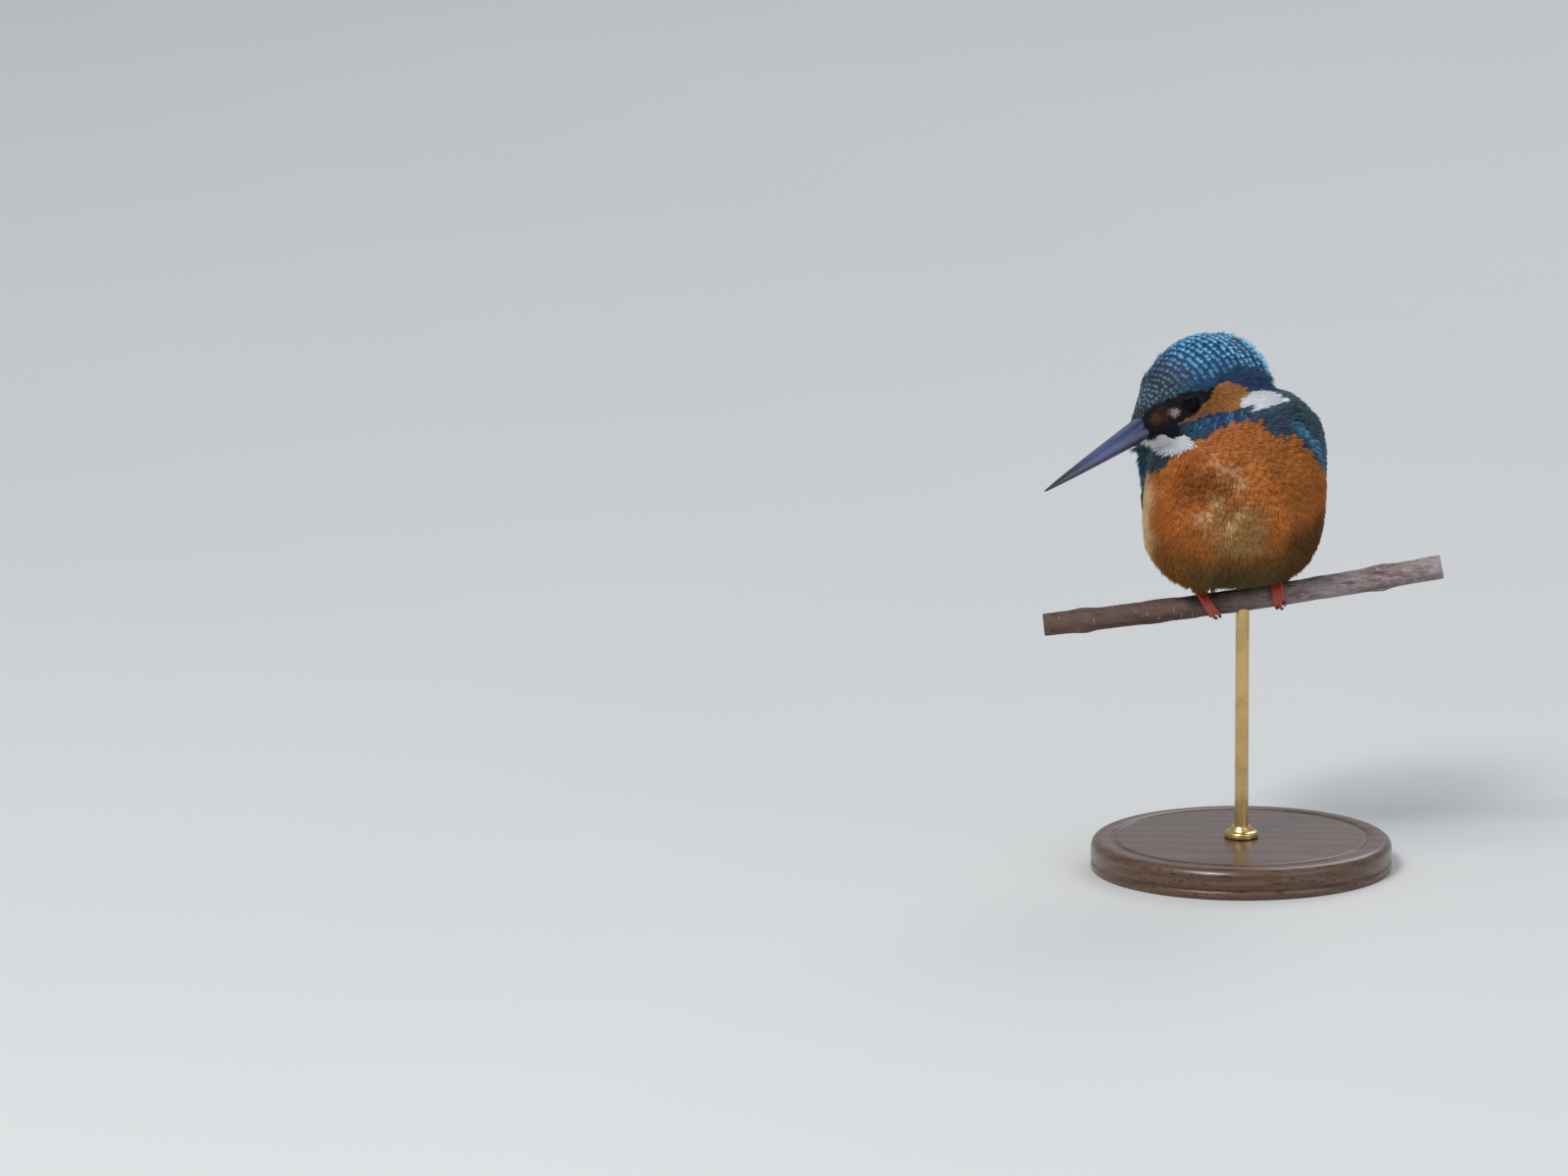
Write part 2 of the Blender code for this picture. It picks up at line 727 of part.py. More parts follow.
def make_foot(side, parts):
    """A foot of three front toes, joined for most of their length, a hind toe and the tarsus."""
    sign = SIDES[side]
    forms = []
    claws = []
    shares = np.linspace(0, 1, TOE_STATIONS)
    for name, offset, end in (*FRONT_TOES, ("hind", 0, HIND_TOE_END)):
        path = toe_path(side, offset, end)
        radii = [FOOT_RADIUS * (1.08 - 0.22 * t - 0.25 * t**6) for t in shares]
        forms.append(tube(path, radii, resolution=2))
        claws.append(make_claw(side, name, offset, end, parts))
    ankle = grip_point(sign * FOOT_SPREAD, TOE_START, FOOT_RADIUS)
    bark_rise = PERCH_SLOPE * sign * FOOT_SPREAD
    knee = at_perch(sign * (FOOT_SPREAD - 1), KNEE_BACK, bark_rise + KNEE_HEIGHT)
    shank = [ankle.lerp(knee, t) for t in np.linspace(0, 1, len(SHANK_RADII))]
    forms.append(tube(shank, SHANK_RADII, resolution=2))
    foot = blended(f"leg_{side}", forms, parts, "red_horn", FOOT_BLEND)
    return foot, claws


def make_claw(side, name, offset, end, parts):
    """A small hooked claw at the end of a toe."""
    way = -1 if end < TOE_START else 1
    x = toe_path(side, offset, end)[-1].x
    root, point = CLAW_RADII
    path, radii = [], []
    for t in np.linspace(0, 1, 5):
        degrees = end + way * (CLAW_START + CLAW_SWEEP * t)
        path.append(grip_point(x, degrees, FOOT_RADIUS * (1 - t) + CLAW_CLEARANCE * t))
        radii.append((root - point) * (1 - t) ** 0.7 + point)
    return object_from(f"claw_{side}_{name}", tube(path, radii, resolution=1), parts, "claw")


def main():
    """Clears the scene and builds every piece."""
    for old in list(bpy.data.objects):
        bpy.data.objects.remove(old, do_unlink=True)
    parts = collection_named("kingfisher")
    cutters = collection_named("cutters")

    pivot = bpy.data.objects.new("head_pivot", None)
    pivot.matrix_world = scaled(head_frame())
    parts.objects.link(pivot)

    body = make_body(parts, cutters)
    bill = make_bill(parts, pivot)
    eyes = make_eyes(parts, pivot)
    wings = {side: make_wing(side, parts) for side in SIDES}
    tail = make_tail(parts)
    feet = {side: make_foot(side, parts) for side in SIDES}
    make_perch(parts, cutters)
    make_stand(parts, cutters)
    bpy.context.view_layer.update()

    for piece in (*bill.values(), *eyes.values()):
        boolean(body["head"], grown_copy(piece, cutters), "DIFFERENCE")
    for piece in (*wings.values(), tail):
        boolean(body["trunk"], grown_copy(piece, cutters), "DIFFERENCE")
    for wing in wings.values():
        boolean(body["neck"], grown_copy(wing, cutters), "DIFFERENCE")
        boolean(wing, grown_copy(tail, cutters), "DIFFERENCE")
    for foot, claws in feet.values():
        for claw in claws:
            boolean(foot, grown_copy(claw, cutters), "DIFFERENCE")
        boolean(body["trunk"], grown_copy(foot, cutters), "DIFFERENCE")


if __name__ == "__main__":
    main()
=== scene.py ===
"""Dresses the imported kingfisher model: one skin, its plumage, eyes, bill, feet, perch and stand.

Local frames and sizes are in millimetres, and meshes are in metres in the model's own frame. The bird
faces -Y, its left side is +X, and it has turned its head to its own right.
"""
import json
import logging
import math
from dataclasses import dataclass
from enum import Enum
from typing import Iterable, Sequence

import bmesh
import bpy
import numpy as np
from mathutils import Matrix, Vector
from mathutils.bvhtree import BVHTree

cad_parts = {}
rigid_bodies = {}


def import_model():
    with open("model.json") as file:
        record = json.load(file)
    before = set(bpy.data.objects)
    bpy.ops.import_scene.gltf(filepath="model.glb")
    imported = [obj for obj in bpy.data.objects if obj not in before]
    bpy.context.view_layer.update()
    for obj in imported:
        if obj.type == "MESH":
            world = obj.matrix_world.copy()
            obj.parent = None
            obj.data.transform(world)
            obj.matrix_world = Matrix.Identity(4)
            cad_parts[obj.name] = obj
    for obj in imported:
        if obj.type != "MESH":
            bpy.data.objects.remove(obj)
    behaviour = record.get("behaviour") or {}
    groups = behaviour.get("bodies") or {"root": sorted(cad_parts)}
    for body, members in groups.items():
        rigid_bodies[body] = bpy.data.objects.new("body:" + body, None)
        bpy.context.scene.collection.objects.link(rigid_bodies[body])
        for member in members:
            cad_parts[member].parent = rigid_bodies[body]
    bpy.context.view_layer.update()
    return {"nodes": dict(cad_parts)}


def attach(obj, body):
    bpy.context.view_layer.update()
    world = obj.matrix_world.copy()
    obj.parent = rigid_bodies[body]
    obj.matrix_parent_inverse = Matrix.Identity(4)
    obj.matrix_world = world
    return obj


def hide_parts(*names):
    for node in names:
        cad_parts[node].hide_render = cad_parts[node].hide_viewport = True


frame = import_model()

MM = 0.001
PATCH = 0.003  # width of a feather's patch in the map that its colours are baked through
MIRROR = (-1, 1, 1)
VANE_INPUTS = ("Start", "Full", "Fade", "End", "Spot", "Barbs", "Soft")
MOST_ROOTS = 6e6  # roots that the scatter may try, for each square metre
Array = np.ndarray
Colour = tuple[float, float, float]
Webs = tuple[Colour, Colour]
Shades = tuple[Array, Array]
Outline = tuple[tuple[float, float], ...]
Profile = list[tuple[float, float]]
Piece = bpy.types.Object
Material = bpy.types.Material
Socket = bpy.types.NodeSocket
log = logging.getLogger("kingfisher")


# ---------------------------------------------------------------- sums


def smooth_curve(knots: Sequence[float], values: Sequence[float], at: Array) -> Array:
    """Reads a smooth curve through knots.

    Args:
        knots: rising places along the curve.
        values: the curve's values there.
        at: places to read, kept within the knots.

    Returns:
        The values at those places.
    """
    knots = np.asarray(knots, float)
    values = np.asarray(values, float)
    at = np.clip(np.asarray(at, float), knots[0], knots[-1])
    slopes = np.gradient(values, knots)
    low = np.clip(np.searchsorted(knots, at) - 1, 0, len(knots) - 2)
    step = knots[low + 1] - knots[low]
    t = (at - knots[low]) / step
    return (
        (2 * t**3 - 3 * t**2 + 1) * values[low]
        + (t**3 - 2 * t**2 + t) * step * slopes[low]
        + (3 * t**2 - 2 * t**3) * values[low + 1]
        + (t**3 - t**2) * step * slopes[low + 1]
    )


def rise(values: Array, low: float, high: float) -> Array:
    """A smooth step from 0 at low to 1 at high; it falls where high is below low."""
    t = np.clip((np.asarray(values, float) - low) / (high - low), 0, 1)
    return t * t * (3 - 2 * t)


def bell(values: Array, middle: float, width: float) -> Array:
    """A smooth bump of height 1 about a middle."""
    return np.exp(-(((values - middle) / width) ** 2))


def unit(vectors: Array) -> Array:
    """Vectors brought to length 1."""
    return vectors / np.maximum(np.linalg.norm(vectors, axis=-1, keepdims=True), 1e-12)


def dots(first: Array, second: Array) -> Array:
    """Row by row dot products."""
    return np.sum(first * second, axis=-1)


def noise(points: Array, size: float, seed: int) -> Array:
    """Smooth noise from -1 to 1.

    Args:
        points: places in millimetres.
        size: width of one lump.
        seed: picks the pattern.

    Returns:
        One value for each point.
    """
    scaled = points / size
    cell = np.floor(scaled).astype(np.int64)
    t = scaled - cell
    t = t * t * (3 - 2 * t)
    total = np.zeros(len(points))
    for corner in np.ndindex(2, 2, 2):
        x, y, z = (cell + corner).T
        mixed = (x * 73856093) ^ (y * 19349663) ^ (z * 83492791) ^ (seed * 40503)
        mixed = ((mixed ^ (mixed >> 13)) * 1274126177) & 0xFFFFFF
        mixed = ((mixed ^ (mixed >> 11)) * 668265263) & 0xFFFF
        share = np.prod(np.where(corner, t, 1 - t), axis=1)
        total += share * (mixed / 32767.5 - 1)
    return total


def mix(first: Array, second: Array, share: Array) -> Array:
    """Colours between two others, share 0 to 1 of the second."""
    share = np.asarray(share, float)[..., None]
    return np.asarray(first, float) * (1 - share) + np.asarray(second, float) * share


def layered(base: Array, *layers: tuple[Array, Array]) -> Array:
    """Colours with others laid over them in turn, each by its own share."""
    for colour, share in layers:
        base = mix(base, colour, share)
    return base


# ---------------------------------------------------------------- frames


@dataclass(frozen=True)
class LocalFrame:
    """A part's own axes: an origin in millimetres and three unit rows in the model's frame."""

    origin: Array
    axes: Array

    def local(self, points: Array) -> Array:
        """Model millimetres to this frame."""
        return (points - self.origin) @ self.axes.T

    def world(self, points: Array) -> Array:
        """This frame to model millimetres."""
        return points @ self.axes + self.origin

    def turned(self, vectors: Array) -> Array:
        """Directions of this frame in the model's frame."""
        return vectors @ self.axes


@dataclass(frozen=True)
class Pose:
    """How the bird sits: the frames of its head and trunk, over the middle of the perch."""

    perch_height: float = 80.0
    trunk_middle: Colour = (-2.5, 3.5, 29.0)
    trunk_pitch: float = math.radians(51.7)
    trunk_roll: float = math.radians(2.5)
    head_middle: Colour = (-18.2, -8.0, 61.4)
    head_turn: float = math.radians(51.0)
    head_nod: float = math.radians(20.0)
    head_tilt: float = math.radians(8.0)

    def over_perch(self, place: Sequence[float]) -> Array:
        """A place given from the middle of the perch."""
        return np.array(place, float) + (0, 0, self.perch_height)

    def lean(self) -> Array:
        """The trunk's roll, as a matrix."""
        c, s = math.cos(-self.trunk_roll), math.sin(-self.trunk_roll)
        return np.array(((c, 0, s), (0, 1, 0), (-s, 0, c)))

    def trunk(self) -> LocalFrame:
        """X to the bird's left, Y to its back, Z up the trunk to the neck."""
        up = np.array((0, -math.cos(self.trunk_pitch), math.sin(self.trunk_pitch)))
        left = np.array((1.0, 0, 0))
        rows = np.array((left, np.cross(up, left), up)) @ self.lean().T
        return LocalFrame(self.over_perch(self.trunk_middle), rows)

    def head(self) -> LocalFrame:
        """X to the bill, Y to the bird's left, Z to the crown."""
        turn, nod, tilt = self.head_turn, self.head_nod, self.head_tilt
        flat = math.cos(nod)
        forward = np.array((-math.sin(turn) * flat, -math.cos(turn) * flat, -math.sin(nod)))
        left = np.array((math.cos(turn), -math.sin(turn), 0))
        left = left * math.cos(tilt) - np.cross(forward, left) * math.sin(tilt)
        return LocalFrame(self.over_perch(self.head_middle), np.array((forward, left, np.cross(forward, left))))


POSE = Pose()
HEAD = POSE.head()
TRUNK = POSE.trunk()
SIDES = {"left": 1, "right": -1}


# ---------------------------------------------------------------- meshes


def linked(name: str, data: bpy.types.ID) -> Piece:
    """A new object of some data, in the scene."""
    made = bpy.data.objects.new(name, data)
    bpy.context.scene.collection.objects.link(made)
    return made


def from_form(name: str, form: bmesh.types.BMesh) -> Piece:
    """A new object of a bmesh, which is freed."""
    mesh = bpy.data.meshes.new(name)
    form.to_mesh(mesh)
    form.free()
    return linked(name, mesh)


def mesh_object(name: str, points: Array, faces: Iterable[Sequence[int]]) -> Piece:
    """A smooth object of points in millimetres.

    Args:
        name: the object's name.
        points: rows of model millimetres.
        faces: rows of indices, seen counter-clockwise from outside.

    Returns:
        The object, in the scene.
    """
    mesh = bpy.data.meshes.new(name)
    mesh.from_pydata((np.asarray(points) * MM).tolist(), [], [list(map(int, face)) for face in faces])
    mesh.validate()
    mesh.shade_smooth()
    return linked(name, mesh)


def applied(source: Piece) -> Piece:
    """Turns an object's live modifiers into its plain mesh."""
    bpy.context.view_layer.update()
    graph = bpy.context.evaluated_depsgraph_get()
    settled = source.evaluated_get(graph)
    mesh = bpy.data.meshes.new_from_object(settled, preserve_all_data_layers=True, depsgraph=graph)
    source.modifiers.clear()
    old = source.data
    source.data = mesh
    bpy.data.meshes.remove(old)
    mesh.name = source.name
    return source


def softened(made: Piece, rounds: int) -> Piece:
    """Smooths an object's mesh for good."""
    made.modifiers.new("soften", "SMOOTH").iterations = rounds
    return applied(made)


def blended(made: Piece, voxel: float, rounds: int) -> Piece:
    """Melts an object's shells into one even mesh of a voxel's size and smooths it."""
    remesh = made.modifiers.new("blend", "REMESH")
    remesh.mode = "VOXEL"
    remesh.voxel_size = voxel * MM
    return softened(made, rounds)


def dropped(made: Piece) -> None:
    """Removes a helper object and its mesh."""
    mesh = made.data
    bpy.data.objects.remove(made)
    bpy.data.meshes.remove(mesh)


def combined(target: Piece, tool: Piece, operation: str) -> Piece:
    """Joins or cuts one closed mesh with another for good, and removes the tool."""
    modifier = target.modifiers.new("join", "BOOLEAN")
    modifier.operation = operation
    modifier.solver = "MANIFOLD"
    modifier.object = tool
    applied(target)
    dropped(tool)
    return target


def joined(name: str, pieces: Sequence[Piece]) -> Piece:
    """One smooth object that holds several, which are removed."""
    form = bmesh.new()
    for piece in pieces:
        form.from_mesh(piece.data)
    made = from_form(name, form)
    made.data.shade_smooth()
    for piece in pieces:
        dropped(piece)
    return made


def cad_copy(node: str, swell: float, cut: tuple[Array, Array] | None = None) -> Piece:
    """A merged, slightly swollen copy of a CAD node.

    Args:
        node: the node's name.
        swell: how far its faces move out, in millimetres.
        cut: a point and a direction; what lies beyond the point along the direction is cut off.

    Returns:
        The copy, in the scene.
    """
    form = bmesh.new()
    form.from_mesh(frame["nodes"][node].data)
    bmesh.ops.remove_doubles(form, verts=form.verts, dist=1e-6)
    if cut is not None:
        everything = [*form.verts, *form.edges, *form.faces]
        result = bmesh.ops.bisect_plane(
            form, geom=everything, plane_co=Vector(cut[0] * MM), plane_no=Vector(cut[1]), clear_outer=True
        )
        rim = [edge for edge in result["geom_cut"] if isinstance(edge, bmesh.types.BMEdge)]
        bmesh.ops.holes_fill(form, edges=rim, sides=0)
    form.normal_update()
    for vert in form.verts:
        vert.co += vert.normal * swell * MM
    return from_form(node + "_copy", form)


def read(items: bpy.types.bpy_prop_collection, field: str, width: int, kind: type = np.float32) -> Array:
    """One field of every item, in rows of a width."""
    flat = np.zeros(len(items) * width, kind)
    items.foreach_get(field, flat)
    return flat.reshape(-1, width)


def coordinates(mesh: bpy.types.Mesh) -> Array:
    """A mesh's points in millimetres."""
    return read(mesh.vertices, "co", 3).astype(float) / MM


def normals(mesh: bpy.types.Mesh) -> Array:
    """A mesh's normals at its points."""
    return read(mesh.vertex_normals, "vector", 3).astype(float)


def move_points(mesh: bpy.types.Mesh, points: Array) -> None:
    """Puts a mesh's points at new places in millimetres."""
    mesh.vertices.foreach_set("co", (points * MM).astype(np.float32).ravel())
    mesh.update()


def paint(mesh: bpy.types.Mesh, name: str, colours: Array) -> None:
    """Stores one colour for each point of a mesh."""
    layer = mesh.color_attributes.new(name, "FLOAT_COLOR", "POINT")
    flat = np.ones((len(mesh.vertices), 4), np.float32)
    flat[:, :3] = colours
    layer.data.foreach_set("color", flat.ravel())


def store(mesh: bpy.types.Mesh, name: str, kind: str, values: Array) -> None:
    """Stores a number or a vector for each point of a mesh."""
    layer = mesh.attributes.new(name, kind, "POINT")
    field = "vector" if kind == "FLOAT_VECTOR" else "value"
    number = np.int32 if kind == "INT" else np.float32
    layer.data.foreach_set(field, np.asarray(values).astype(number).ravel())


def map_points(mesh: bpy.types.Mesh, name: str, places: Array) -> None:
    """Adds a map in which each point of a mesh has one place."""
    corners = read(mesh.loops, "vertex_index", 1, np.int32).ravel()
    mesh.uv_layers.new(name=name).data.foreach_set("uv", places[corners].astype(np.float32).ravel())


def swept(name: str, path: Array, radii: Sequence[float], segments: int) -> Piece:
    """A closed tube along a path, turned round it as little as it can be.

    Args:
        name: the object's name.
        path: rows of model millimetres.
        radii: the tube's radius at each row.
        segments: points round it.

    Returns:
        The closed tube.
    """
    tangents = unit(np.gradient(path, axis=0))
    side = np.cross(tangents[0], (0.3, 0.2, 1.0))
    angles = np.linspace(0, math.tau, segments, endpoint=False)
    rows = []
    for place, tangent, radius in zip(path, tangents, radii):
        side = unit(side - tangent * (side @ tangent))
        over = np.cross(side, tangent)
        ring = np.outer(np.cos(angles), over) + np.outer(np.sin(angles), side)
        rows.append(place + ring * radius)
    return lofted(name, np.array(rows))


def lofted(name: str, rows: Array) -> Piece:
    """A closed object through rings of equal count, with its faces turned outwards."""
    count = rows.shape[1]
    points = [*rows.reshape(-1, 3), rows[0].mean(axis=0), rows[-1].mean(axis=0)]
    first, last = len(points) - 2, len(points) - 1
    faces = []
    for i in range(len(rows) - 1):
        for j in range(count):
            k = (j + 1) % count
            faces.append((i * count + j, i * count + k, (i + 1) * count + k, (i + 1) * count + j))
    end = (len(rows) - 1) * count
    for j in range(count):
        k = (j + 1) % count
        faces.append((k, j, first))
        faces.append((end + j, end + k, last))
    return outward(mesh_object(name, np.array(points), faces))


def looped(name: str, rows: Array) -> Piece:
    """A closed object through sections of equal count that run round in a loop, its faces outwards."""
    length, count = rows.shape[:2]
    faces = []
    for i in range(length):
        k = (i + 1) % length
        for j in range(count):
            m = (j + 1) % count
            faces.append((i * count + j, k * count + j, k * count + m, i * count + m))
    return outward(mesh_object(name, rows.reshape(-1, 3), faces))


def outward(made: Piece) -> Piece:
    """Turns a closed mesh's faces outwards."""
    form = bmesh.new()
    form.from_mesh(made.data)
    bmesh.ops.recalc_face_normals(form, faces=form.faces)
    if form.calc_volume(signed=True) < 0:
        bmesh.ops.reverse_faces(form, faces=form.faces)
    form.to_mesh(made.data)
    form.free()
    made.data.shade_smooth()
    return made


def settle(piece: Piece, slot: str, *nodes: str) -> Piece:
    """Rides a finished piece on the model's body and hides the CAD nodes that it stands for."""
    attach(piece, "root")
    if nodes:
        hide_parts(*nodes)
    return piece


# ---------------------------------------------------------------- shader and geometry trees


class Sheet:
    """Adds nodes to one node tree and links them."""

    def __init__(self, tree: bpy.types.NodeTree) -> None:
        """Keeps the tree."""
        self.tree = tree

    def feed(self, node: bpy.types.Node, values: dict) -> None:
        """Sets a node's inputs, by name or number, to values or links them to output sockets."""
        for key, value in values.items():
            if isinstance(value, Socket):
                self.tree.links.new(value, node.inputs[key])
            else:
                node.inputs[key].default_value = value

    def add(self, kind: str, inputs: dict | None = None, **settings: object) -> bpy.types.Node:
        """Adds a node.

        Args:
            kind: the node's type name.
            inputs: values or output sockets, by the input's name or number.
            settings: the node's own properties.

        Returns:
            The node.
        """
        node = self.tree.nodes.new(kind)
        for name, value in settings.items():
            setattr(node, name, value)
        self.feed(node, inputs or {})
        return node

    def maths(self, operation: str, *values: object) -> Socket:
        """The result of a sum of numbers or sockets."""
        return self.add("ShaderNodeMath", dict(enumerate(values)), operation=operation).outputs[0]

    def times(self, first: object, second: object) -> Socket:
        """The product of two numbers or sockets."""
        return self.maths("MULTIPLY", first, second)

    def less(self, first: object, second: object) -> Socket:
        """One number or socket less another."""
        return self.maths("SUBTRACT", first, second)

    def line(self, value: object, slope: float, start: object) -> Socket:
        """A value times a slope, added to a start."""
        return self.maths("MULTIPLY_ADD", value, slope, start)

    def vector(self, operation: str, *values: object) -> Socket:
        """The result of a sum of vectors; a scale's factor is given last."""
        keys = [0, 3] if operation == "SCALE" else range(len(values))
        return self.add("ShaderNodeVectorMath", dict(zip(keys, values)), operation=operation).outputs[0]

    def blend(self, share: object, first: object, second: object) -> Socket:
        """A mix of two colours."""
        return self.add("ShaderNodeMix", {0: share, 6: first, 7: second}, data_type="RGBA").outputs[2]

    def step(self, value: object, low: object, high: object, first: float = 0.0, last: float = 1.0) -> Socket:
        """A smooth step from first to last of a value between two bounds."""
        inputs = {0: value, 1: low, 2: high, 3: first, 4: last}
        return self.add("ShaderNodeMapRange", inputs, interpolation_type="SMOOTHSTEP").outputs[0]

    def place(self) -> Socket:
        """The place on the object."""
        return self.add("ShaderNodeTexCoord").outputs["Object"]

    def split(self, place: Socket) -> tuple:
        """A place's three numbers."""
        return tuple(self.add("ShaderNodeSeparateXYZ", {0: place}).outputs)

    def stretched(self, place: Socket, scale: Colour, turn: Colour = (0, 0, 0), shift: Colour = (0, 0, 0)) -> Socket:
        """A place scaled, turned and shifted."""
        return self.add("ShaderNodeMapping", {0: place, 1: shift, 2: turn, 3: scale}).outputs[0]

    def noise(self, place: Socket, scale: float, detail: float, **more: float) -> Socket:
        """Soft noise about 0.5."""
        return self.add("ShaderNodeTexNoise", {"Vector": place, "Scale": scale, "Detail": detail, **more}).outputs[0]

    def layer(self, name: str) -> Socket:
        """A painted colour."""
        return self.add("ShaderNodeVertexColor", layer_name=name).outputs[0]

    def value(self, name: str) -> Socket:
        """A stored number."""
        return self.add("ShaderNodeAttribute", attribute_name=name).outputs["Fac"]

    def bump(self, strength: float, distance: float, height: Socket, **more: Socket) -> Socket:
        """A normal that follows a height in metres."""
        inputs = {"Strength": strength, "Distance": distance, "Height": height, **more}
        return self.add("ShaderNodeBump", inputs).outputs[0]


def group_tree(name: str, kind: str, inputs: dict[str, str], outputs: dict[str, str]) -> tuple:
    """Starts a node group.

    Args:
        name: the group's name.
        kind: its tree type.
        inputs: socket types by name.
        outputs: socket types by name.

    Returns:
        The group, its sheet, and its input and output nodes.
    """
    group = bpy.data.node_groups.new(name, kind)
    for in_out, sockets in (("INPUT", inputs), ("OUTPUT", outputs)):
        for label, socket in sockets.items():
            group.interface.new_socket(name=label, in_out=in_out, socket_type=socket)
    sheet = Sheet(group)
    return group, sheet, sheet.add("NodeGroupInput"), sheet.add("NodeGroupOutput")


def vane_pattern() -> bpy.types.NodeTree:
    """The group that draws a feather's mark and barbs from its own map: U across it and V along it."""
    known = bpy.data.node_groups.get("vane pattern")
    if known:
        return known
    number = "NodeSocketFloat"
    group, sheet, given, result = group_tree(
        "vane pattern",
        "ShaderNodeTree",
        dict.fromkeys(VANE_INPUTS, number),
        {"Mark": number, "Barb": number, "Normal": "NodeSocketVector"},
    )
    start, full, fade, end, spot, barbs, soft = (given.outputs[name] for name in VANE_INPUTS)
    u, along, _ = sheet.split(sheet.add("ShaderNodeUVMap", uv_map="vane").outputs[0])
    across = sheet.maths("ABSOLUTE", sheet.less(u, 0.5))
    lit = sheet.times(sheet.step(along, start, full), sheet.step(along, fade, end, 1.0, 0.0))
    mask = sheet.times(lit, sheet.step(across, sheet.times(spot, 0.6), spot, 1.0, 0.0))
    slant = sheet.times(sheet.less(along, sheet.times(across, 0.9)), barbs)
    own = sheet.add("ShaderNodeNewGeometry").outputs["Normal"]
    body = sheet.add("ShaderNodeAttribute", attribute_name="over_body").outputs["Vector"]
    alike = sheet.add("ShaderNodeVectorMath", {0: own, 1: body}, operation="DOT_PRODUCT").outputs["Value"]
    share = sheet.times(sheet.step(alike, 0.0, 0.5), soft)
    own = sheet.vector("SCALE", own, sheet.less(1.0, share))
    facing = sheet.vector("NORMALIZE", sheet.vector("ADD", own, sheet.vector("SCALE", body, share)))
    sheet.feed(result, {"Mark": mask, "Barb": sheet.maths("SINE", slant), "Normal": facing})
    return group


@dataclass(frozen=True)
class Finish:
    """A material; each kind says what its shader is fed."""

    name: str

    def inputs(self, sheet: Sheet) -> dict[str, object]:
        """Values and sockets for the shader, by the input's name."""
        raise NotImplementedError

    def material(self) -> Material:
        """Builds the material."""
        made = bpy.data.materials.new(self.name)
        made.use_nodes = True
        sheet = Sheet(made.node_tree)
        sheet.feed(made.node_tree.nodes["Principled BSDF"], self.inputs(sheet))
        return made


@dataclass(frozen=True)
class PlumageFinish(Finish):
    """The finish of one sort of feather: each has its own tint, and a mark over part of its length."""

    start: float = 0.3
    full: float = 0.9
    fade: float = 1.1
    end: float = 1.2
    spot: float = 1.0
    barbs: float = 90.0
    bump: float = 0.15
    soft: float = 0.5  # how far the shading follows the body's shape instead of each barb's
    roughness: float = 0.6
    sheen: float = 0.1
    specular: float = 0.25

    def inputs(self, sheet: Sheet) -> dict[str, object]:
        """The mark over the tint, finely ribbed by the barbs."""
        pattern = sheet.add("ShaderNodeGroup", node_tree=vane_pattern())
        for label in VANE_INPUTS:
            pattern.inputs[label].default_value = getattr(self, label.lower())
        drawn = pattern.outputs
        colour = sheet.blend(drawn["Mark"], sheet.layer("tint"), sheet.layer("mark"))
        return {
            "Base Color": sheet.vector("SCALE", colour, sheet.line(drawn["Barb"], 0.10, 0.92)),
            "Normal": sheet.bump(self.bump, 0.00005, drawn["Barb"], Normal=drawn["Normal"]),
            "Roughness": self.roughness,
            "Sheen Weight": self.sheen,
            "Sheen Roughness": 0.4,
            "Specular IOR Level": self.specular,
        }


def scatter_tree() -> bpy.types.NodeTree:
    """The group that scatters evenly spaced roots over the faces of one tract."""
    solid = {"Geometry": "NodeSocketGeometry"}
    given = {**solid, "Tract": "NodeSocketInt", "Spacing": "NodeSocketFloat", "Seed": "NodeSocketInt"}
    group, sheet, given, result = group_tree("scatter roots", "GeometryNodeTree", given, solid)
    surface, tract, spacing, seed = tuple(given.outputs)[:4]
    own = sheet.add("GeometryNodeInputNamedAttribute", {"Name": "tract"}, data_type="INT").outputs[0]
    same = sheet.add("FunctionNodeCompare", {2: own, 3: tract}, data_type="INT", operation="EQUAL").outputs[0]
    spread = sheet.add(
        "GeometryNodeDistributePointsOnFaces",
        {"Mesh": surface, "Selection": same, "Distance Min": spacing, "Density Max": MOST_ROOTS, "Seed": seed},
        distribute_method="POISSON",
    )
    roots = sheet.add("GeometryNodePointsToVertices", {"Points": spread.outputs["Points"]})
    sheet.feed(result, {0: roots.outputs[0]})
    return group


